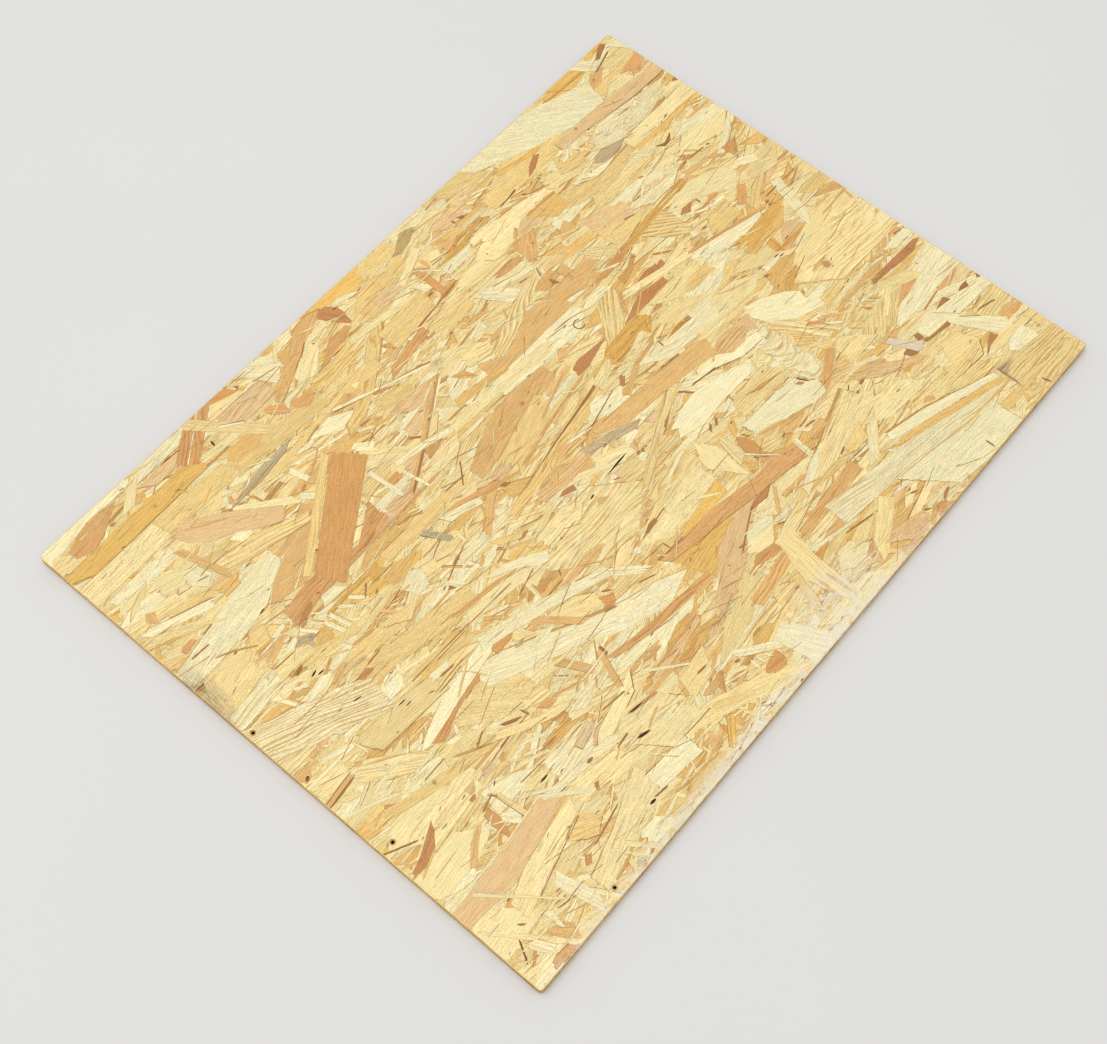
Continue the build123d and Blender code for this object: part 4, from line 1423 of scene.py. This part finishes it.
def hole_line(laid, centre, chart_radius):
    """The line of points round a nail hole in one face, with angles for runs."""
    away = laid.flat - centre
    corners = np.flatnonzero(laid.by_hole & (np.linalg.norm(away, axis=1) < NAIL_HOLE_RADIUS + 0.3))
    angle = np.arctan2(away[corners, 1], away[corners, 0]) % (2 * math.pi)
    order = np.argsort(np.where(angle > 2 * math.pi - 0.01, 0, angle))
    corners = corners[np.append(order, order[0])]
    angle = np.append(angle[order], 2 * math.pi)
    angle[0] = 0
    chart_at = np.stack([np.cos(angle), np.sin(angle)], axis=1) * chart_radius + centre
    return angle, laid.points[corners], chart_at


# The bands' wood: its place in the noise, its rings, and how long and how light its patches are
BAND_SEED = 7.0
BAND_FIGURE = (0.25, 2.6, 0)
PATCH_LENGTH = 9
PATCH_LIGHT = (0.82, 1.06)
PATCHES = 400


def add_band(surface, upper, lower, tone, finish, chart):
    """A band between two lines of points, each given as runs, points and places on the chart."""
    faces = stitched(upper[0], lower[0])
    run, points, chart_at = (np.concatenate(both) for both in zip(upper, lower))
    grain = np.stack([run, points[:, 2] - THICKNESS, np.full(len(run), BAND_SEED)], axis=1)
    colour = np.tile(linear(tone), (len(faces), 1))
    if finish != TORN_WOOD_AND_SHADE:
        light = np.random.default_rng(11).uniform(*PATCH_LIGHT, PATCHES)
        colour *= light[(run[faces[:, 0]] / PATCH_LENGTH).astype(int) % PATCHES][:, None]
    surface.add(points, grain, chart_at, faces, colour, BAND_FIGURE, finish, chart)


def whole_surface():
    """The board's whole surface."""
    surface = Surface()
    upper = add_face(surface, face_strands(), UPPER_ARRIS, TOP_CHART)
    under = add_face(surface, under_strands(), LOWER_ARRIS, UNDER_CHART, underside=True)
    edge_top, edge_bottom = add_edges(surface)
    arris = worn_arris()
    add_band(surface, outline_line(upper, UPPER_ARRIS), arris, "gold straw", FACE_WOOD, TOP_CHART)
    add_band(surface, arris, edge_top, "honey", FACE_WOOD, TOP_CHART)
    add_band(surface, edge_bottom, outline_line(under, LOWER_ARRIS), "tan", FACE_WOOD, UNDER_CHART)
    for hole in NAIL_HOLES:
        below = hole_line(under, hole, NAIL_HOLE_RADIUS - 0.4)
        above = hole_line(upper, hole, NAIL_HOLE_RADIUS)
        # The nail holes' walls: dark brown, partly painted shade inside the hole
        add_band(surface, below, above, "dark brown", TORN_WOOD_AND_SHADE, TOP_CHART)
    return surface.joined()


# Where each part of a block's surface lies on its map
TOP_SCALE = 0.0026
TOP_CORNER = (0.012, 0.2)
UNDER_SCALE = (0.00101, 0.00257)
UNDER_CORNER = (0.722, 0.2)
EDGE_SCALE = (0.0031, 0.0064)
EDGE_START = 0.012
EDGE_ROWS = (0.014, 0.104)
COLUMN_NAMES = ("left", "middle", "right")
ROW_NAMES = ("front", "back")


def map_places(part, faces, chart, column, row):
    """Each corner's place on its block's map."""
    at = part["chart_at"][faces]
    block_corner = (-LENGTH / 2 + column * LENGTH / 3, -WIDTH / 2 + row * WIDTH / 2)
    places = np.zeros((len(faces), 3, 2))
    top, under, edge = (chart == kind for kind in (TOP_CHART, UNDER_CHART, EDGE_CHART))
    places[top] = (at[top] - block_corner) * TOP_SCALE + TOP_CORNER
    places[under] = (at[under] - block_corner) * UNDER_SCALE + UNDER_CORNER
    front_left, front_right, back_right, back_left = rim.corner_middles
    run, height = at[edge][..., 0].copy(), at[edge][..., 1]
    run[run.mean(axis=1) < front_left] += rim.length
    centre = run.mean(axis=1)
    beside = ((centre > front_right) & (centre < back_right)) | (centre > back_left)
    for number, chosen in enumerate((~beside, beside)):
        if chosen.any():
            rows = np.flatnonzero(edge)[chosen]
            places[rows, :, 0] = EDGE_START + (run[chosen] - run[chosen].min()) * EDGE_SCALE[0]
            places[rows, :, 1] = EDGE_ROWS[number] + height[chosen] * EDGE_SCALE[1]
    return places


def real_triangles(corners):
    """The triangles with three different corners, and of those on the same corners only the first."""
    ordered = np.sort(corners, axis=1)
    kept = np.unique(ordered, axis=0, return_index=True)[1]
    return np.sort(kept[(np.diff(ordered[kept], axis=1) > 0).all(axis=1)])


def block_mesh(name, part, chosen, column, row):
    """One block of the board as a mesh, with its map and what its material reads."""
    faces = part["faces"][chosen]
    solid = np.round(part["points"][faces.ravel()], 5)
    points, number = np.unique(solid, axis=0, return_inverse=True)
    corners = number.reshape(-1, 3)
    kept = real_triangles(corners)
    chosen, faces, corners = chosen[kept], faces[kept], corners[kept]
    mesh = bpy.data.meshes.new(name)
    mesh.vertices.add(len(points))
    mesh.vertices.foreach_set("co", (points * MM).ravel())
    mesh.loops.add(len(corners) * 3)
    mesh.loops.foreach_set("vertex_index", corners.ravel())
    mesh.polygons.add(len(corners))
    mesh.polygons.foreach_set("loop_start", np.arange(0, len(corners) * 3, 3))
    mesh.polygons.foreach_set("material_index", part["finish"][chosen].astype(np.int32))
    mesh.update(calc_edges=True)
    places = map_places(part, faces, part["chart"][chosen], column, row)
    mesh.uv_layers.new(name="OFBake").data.foreach_set("uv", places.ravel())
    grain = mesh.attributes.new("grain", "FLOAT_VECTOR", "CORNER")
    grain.data.foreach_set("vector", part["grain"][faces.ravel()].ravel())
    figure = mesh.attributes.new("figure", "FLOAT_VECTOR", "FACE")
    figure.data.foreach_set("vector", part["figure"][chosen].ravel())
    tone = mesh.attributes.new("tone", "FLOAT_COLOR", "FACE")
    tone.data.foreach_set("color", np.column_stack([part["colour"][chosen], np.ones(len(chosen))]).ravel())
    mesh.shade_flat()
    return mesh


# Materials


class Value:
    """A socket that can stand in a sum, so that shader maths reads as an expression."""

    def __init__(self, finish, socket):
        self.finish = finish
        self.socket = socket

    def maths(self, operation, *others):
        inputs = dict(enumerate((self, *others)))
        return self.finish.node("ShaderNodeMath", {"operation": operation}, inputs).value()

    def __add__(self, other):
        return self.maths("ADD", other)

    def __sub__(self, other):
        return self.maths("SUBTRACT", other)

    def __rsub__(self, other):
        return self.maths("MULTIPLY_ADD", -1.0, other)

    def __mul__(self, other):
        return self.maths("MULTIPLY", other)

    def __truediv__(self, other):
        return self.maths("DIVIDE", other)

    def __pow__(self, other):
        return self.maths("POWER", other)

    __radd__ = __add__
    __rmul__ = __mul__

    def clamped(self):
        return self.maths("MAXIMUM", 0.0).maths("MINIMUM", 1.0)

    def fraction(self):
        return self.maths("FRACT")


class Made:
    """A node that has been made, and a way to each of its outputs."""

    def __init__(self, finish, node):
        self.finish = finish
        self.node = node

    def value(self, output=0):
        return Value(self.finish, self.node.outputs[output])


# The colour sockets of a mix node: how much, the colour below, the colour above, and the result
MIX_SHARE, MIX_UNDER, MIX_OVER, MIX_RESULT = 0, 6, 7, 2


class Finish:
    """A material, and the one method that makes its nodes."""

    def __init__(self, name):
        self.material = bpy.data.materials.new(name)
        self.material.use_nodes = True
        self.tree = self.material.node_tree
        self.shader = self.tree.nodes["Principled BSDF"]

    def node(self, kind, settings=None, inputs=None):
        made = self.tree.nodes.new(kind)
        for name, setting in (settings or {}).items():
            setattr(made, name, setting)
        for name, given in (inputs or {}).items():
            self.feed(made.inputs[name], given)
        return Made(self, made)

    def feed(self, socket, given):
        if isinstance(given, Value):
            self.tree.links.new(given.socket, socket)
        else:
            socket.default_value = given

    def vector(self, x, y, z):
        return self.node("ShaderNodeCombineXYZ", inputs={"X": x, "Y": y, "Z": z}).value()

    def parts(self, vector):
        made = self.node("ShaderNodeSeparateXYZ", inputs={"Vector": vector})
        return made.value("X"), made.value("Y"), made.value("Z")

    def attribute(self, name, output="Vector"):
        return self.node("ShaderNodeAttribute", {"attribute_name": name}).value(output)

    def place(self):
        return self.node("ShaderNodeTexCoord").value("Object")

    def noise(self, place, scale=1.0, detail=2.0, roughness=0.5):
        settings = {"noise_dimensions": "3D"}
        inputs = {"Vector": place, "Scale": scale, "Detail": detail, "Roughness": roughness}
        return self.node("ShaderNodeTexNoise", settings, inputs).value("Fac")

    def mixed(self, share, under, over, blend="MIX"):
        settings = {"data_type": "RGBA", "blend_type": blend}
        inputs = {MIX_SHARE: share, MIX_UNDER: under, MIX_OVER: over}
        return self.node("ShaderNodeMix", settings, inputs).value(MIX_RESULT)

    def grey(self, level):
        inputs = {"Red": level, "Green": level, "Blue": level}
        return self.node("ShaderNodeCombineColor", inputs=inputs).value()

    def bump(self, strength, distance, height):
        inputs = {"Strength": strength, "Distance": distance, "Height": height}
        return self.node("ShaderNodeBump", inputs=inputs).value()

    def shades(self, **inputs):
        for name, given in inputs.items():
            self.feed(self.shader.inputs[name.replace("_", " ")], given)


def wood_pattern(finish, dark_share):
    """The grain of whatever strand is being shaded: its colour, and how high its fibres stand."""
    along, across, seed = finish.parts(finish.attribute("grain"))
    ribs, spacing, curl = finish.parts(finish.attribute("figure"))
    tone = finish.attribute("tone", "Color")

    def noise(lengthwise, crosswise, layer=seed, **options):
        """Noise that follows the grain: the larger the two numbers, the finer it is along and across it."""
        return finish.noise(finish.vector(along * lengthwise, across * crosswise, layer), **options)

    drift = noise(0.011, 0.045, detail=1.0) - 0.5
    swirl = noise(0.035, 0.06, seed + 31.0, detail=1.0) - 0.5
    bow = along * along * (0 - curl).clamped()
    ring_place = ((across - bow) / spacing + drift * 7.0 + swirl * curl * 14.0 + 60.0).fraction()
    latewood = ring_place**2.0 * ((1 - ring_place) * 8.0).clamped()
    strength = noise(0.03, 0.16, seed + 11.0)
    rib = (latewood * (ribs + 0.08) * (strength * 4.0 - 1.0)).clamped() * dark_share
    mottle = (0.55 - ribs).clamped()
    fibre = noise(0.06, 0.95, detail=3.0, roughness=0.7) - 0.5
    speckle = noise(0.8, 1.1, seed + 41.0, roughness=0.75) - 0.5
    streak = noise(0.018, 0.55, seed + 5.0) - 0.5
    blotch = noise(0.06, 0.12, seed + 17.0) - 0.5
    dash = ((noise(0.13, 2.4, seed + 3.0, detail=1.0) - 0.66) * 9.0).clamped()
    colour = finish.mixed(rib, tone, (0.74, 0.53, 0.28, 1), "MULTIPLY")
    warm = (0.5 + streak * 1.9 + blotch * (1.2 + mottle * 3.0)).clamped()
    colour = finish.mixed(warm * 0.5, colour, (0.96, 0.85, 0.66, 1), "MULTIPLY")
    colour = finish.mixed(dash * 0.6, colour, (0.62, 0.46, 0.28, 1), "MULTIPLY")
    level = 1.10 + fibre * 1.1 + speckle * 1.25 + blotch * 0.2
    colour = finish.mixed(1.0, colour, finish.grey(level), "MULTIPLY")
    height = fibre * 0.6 - rib * 0.5 - dash * 0.5
    return colour, height, fibre


# Each knot's place and radius
KNOTS = [
    (313, -53, 4.9), (281, 244, 2.0), (333, 238, 1.2), (93, 242, 1.8), (145.5, 184.5, 1.4), (1, 71.5, 2.4),
    (-160, 289, 1.8), (68, -68, 1.0), (-326, -116, 2.2), (-272, 253, 1.2), (-297, 257, 1.4),
]


def soft_patch(finish, x, y, centre, reach):
    """A patch that fades out from a centre, as a share from 0 to 1."""
    dx = (x - centre[0] * MM) / (reach[0] * MM)
    dy = (y - centre[1] * MM) / (reach[1] * MM)
    return (1 - (dx * dx + dy * dy)).clamped()


def with_knots(finish, colour, place, fine):
    """The wood's colour with each knot's dark core and the warm halo round it."""
    for x, y, radius in KNOTS:
        ends = {0: place, 1: (x * MM, y * MM, THICKNESS * MM)}
        away = finish.node("ShaderNodeVectorMath", {"operation": "DISTANCE"}, ends).value("Value")
        away = away / (radius * MM) + (fine - 0.5) * 0.5
        core = ((1 - away) * 3.0).clamped()
        halo = ((1.7 - away) * 1.4).clamped() - core
        colour = finish.mixed(halo * 0.45, colour, (0.86, 0.64, 0.40, 1), "MULTIPLY")
        colour = finish.mixed(core * 0.75, colour, (0.42, 0.19, 0.08, 1))
    return colour


def face_wood():
    """The wood of both faces, with knots, dirt at the left edge and white wear along the front."""
    finish = Finish("face_strand_wood")
    colour, height, fibre = wood_pattern(finish, 1.0)
    place = finish.place()
    x, y, z = finish.parts(place)
    rough = finish.noise(place, 90.0, 3.0)
    fine = finish.noise(place, 420.0)
    upper_side = (z * 400.0 - 1.0).clamped()
    colour = with_knots(finish, colour, place, fine)

    smear = finish.noise(finish.vector(x * 330.0, y * 60.0, 4.0), detail=3.0)
    dirt = soft_patch(finish, x, y, (-396, 88), (16, 46)) * ((smear - 0.30) * 4.0).clamped()
    dirt = dirt + soft_patch(finish, x, y, (-401, 20), (6, 150)) * ((smear - 0.5) * 4.0).clamped() * 0.5
    grain_smear = finish.noise(finish.vector(x * 50.0, y * 420.0, 9.0))
    stain = soft_patch(finish, x, y, (321, -254), (22, 7)) * ((grain_smear - 0.3) * 4.0).clamped()
    stain = (stain + soft_patch(finish, x, y, (321, -264), (3, 17))).clamped()
    stain = stain * ((x - 0.3205) * 2000.0).clamped()
    colour = finish.mixed((dirt * 0.6 * upper_side).clamped(), colour, (0.26, 0.19, 0.12, 1))
    colour = finish.mixed((stain * 0.75 * upper_side).clamped(), colour, (0.24, 0.15, 0.10, 1))
    smudge = soft_patch(finish, x, y, (-18, 163), (9, 9)) * ((fine - 0.35) * 4.0).clamped()
    colour = finish.mixed((smudge * 0.5 * upper_side).clamped(), colour, (0.30, 0.25, 0.14, 1))
    dust = soft_patch(finish, x, y, (-110, -304), (350, 20))
    dust = dust + soft_patch(finish, x, y, (30, -275), (70, 36)) * 0.7
    dust = (dust * ((rough + fine - 0.82) * 4.5).clamped() * upper_side).clamped() * 0.85
    colour = finish.mixed(dust, colour, (0.89, 0.85, 0.70, 1))
    bump = finish.bump(0.5, 0.00035, height + (fine - 0.5) * 0.25)
    finish.shades(Base_Color=colour, Roughness=0.6 + fibre * 0.2, Normal=bump)
    return finish.material


def edge_wood():
    """The sawn edges: the same wood, darker, with the marks that the saw's teeth left up and down it."""
    finish = Finish("sawn_edge_wood")
    colour, height, fibre = wood_pattern(finish, 0.6)
    place = finish.place()
    x, y, z = finish.parts(place)
    slant = z * 160.0
    tooth = finish.noise(finish.vector(x * 900.0 + slant, y * 900.0 + slant, 3.0), detail=1.0) - 0.5
    grime = finish.noise(place, 60.0, 3.0)
    colour = finish.mixed(((grime - 0.45) * 3.0).clamped() * 0.5, colour, (0.72, 0.58, 0.44, 1), "MULTIPLY")
    colour = finish.mixed(1.0, colour, finish.grey(0.94 + tooth * 0.32), "MULTIPLY")
    bump = finish.bump(0.6, 0.0003, height * 0.5 + tooth)
    finish.shades(Base_Color=colour, Roughness=0.72 + fibre * 0.15, Normal=bump)
    return finish.material


def torn_wood_and_painted_shade():
    """The insides of the open gaps, the scar and the nail holes: dark, with torn fibres; the near-black of
    the gaps and the dark brown of the holes are partly painted shade.
    """
    finish = Finish("torn_wood_and_painted_shade")
    along, across, seed = finish.parts(finish.attribute("grain"))
    tone = finish.attribute("tone", "Color")
    fibre = finish.noise(finish.vector(along * 0.4, across * 4.0, seed), detail=3.0)
    crumb = finish.noise(finish.place(), 900.0)
    colour = finish.mixed(((fibre - 0.45) * 4.0).clamped() * 0.6, tone, (0.30, 0.16, 0.08, 1))
    bump = finish.bump(0.8, 0.0004, fibre + crumb * 0.6)
    finish.shades(Base_Color=colour, Roughness=0.8 + (crumb - 0.5) * 0.2, Normal=bump)
    return finish.material


def floor_paint():
    """A plain pale floor."""
    finish = Finish("pale_floor")
    cloud = finish.noise(finish.place(), 3.0, 3.0) - 0.5
    finish.shades(Base_Color=finish.grey(0.80 + cloud * 0.03), Roughness=0.9, Specular_IOR_Level=0.1)
    return finish.material


# The scene


def place_object(name, data):
    """Puts a mesh, a lamp or a camera into the scene."""
    made = bpy.data.objects.new(name, data)
    bpy.context.scene.collection.objects.link(made)
    return made


def build_board():
    """The board in six blocks, so that each has a fine map of its own."""
    part = whole_surface()
    finishes = [face_wood(), edge_wood(), torn_wood_and_painted_shade()]
    centre = part["points"][part["faces"]].mean(axis=1)
    column = np.searchsorted(BLOCK_LINES_X, centre[:, 0])
    row = (centre[:, 1] > BLOCK_LINE_Y).astype(int)
    for number_x, name_x in enumerate(COLUMN_NAMES):
        for number_y, name_y in enumerate(ROW_NAMES):
            chosen = np.flatnonzero((column == number_x) & (row == number_y))
            name = f"board_{name_y}_{name_x}"
            mesh = block_mesh(name, part, chosen, number_x, number_y)
            for finish in finishes:
                mesh.materials.append(finish)
            piece = place_object(name, mesh)
            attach(piece, "root")
            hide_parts("osb_board")


def build_floor():
    """A wide round floor just under the board."""
    sides, radius, level = 64, 9.0, -0.00005
    points = [(x, y, level) for x, y in ring((0, 0), radius, sides)]
    mesh = bpy.data.meshes.new("floor")
    mesh.from_pydata(points, [], [tuple(range(sides))])
    mesh.materials.append(floor_paint())
    place_object("floor", mesh)


def set_camera():
    """The photograph's viewpoint, found from the four corners of the face."""
    camera = bpy.data.cameras.new("camera")
    camera.sensor_width = 36.0
    camera.lens = 55.93
    camera.shift_x = -0.0452
    camera.clip_end = 60
    holder = place_object("camera", camera)
    holder.location = (-0.5776, -0.5114, 1.4165)
    holder.rotation_euler = Euler((math.radians(26.253), math.radians(-0.109), math.radians(-49.950)))
    bpy.context.scene.camera = holder


def light_scene():
    """Soft, even studio light: a bright surround and one broad lamp overhead, aimed at the board."""
    world = bpy.data.worlds.new("surround")
    bpy.context.scene.world = world
    world.use_nodes = True
    surround = world.node_tree.nodes["Background"]
    surround.inputs["Color"].default_value = (1.0, 0.99, 0.97, 1)
    surround.inputs["Strength"].default_value = 0.62
    lamp = bpy.data.lights.new("overhead", "AREA")
    lamp.energy = 101
    lamp.size = 3.6
    holder = place_object("overhead", lamp)
    holder.location = (-0.7, 0.6, 5.0)
    holder.rotation_euler = (-holder.location).to_track_quat("-Z", "Y").to_euler()
    bpy.context.scene.view_settings.view_transform = "Standard"


build_board()
build_floor()
set_camera()
light_scene()
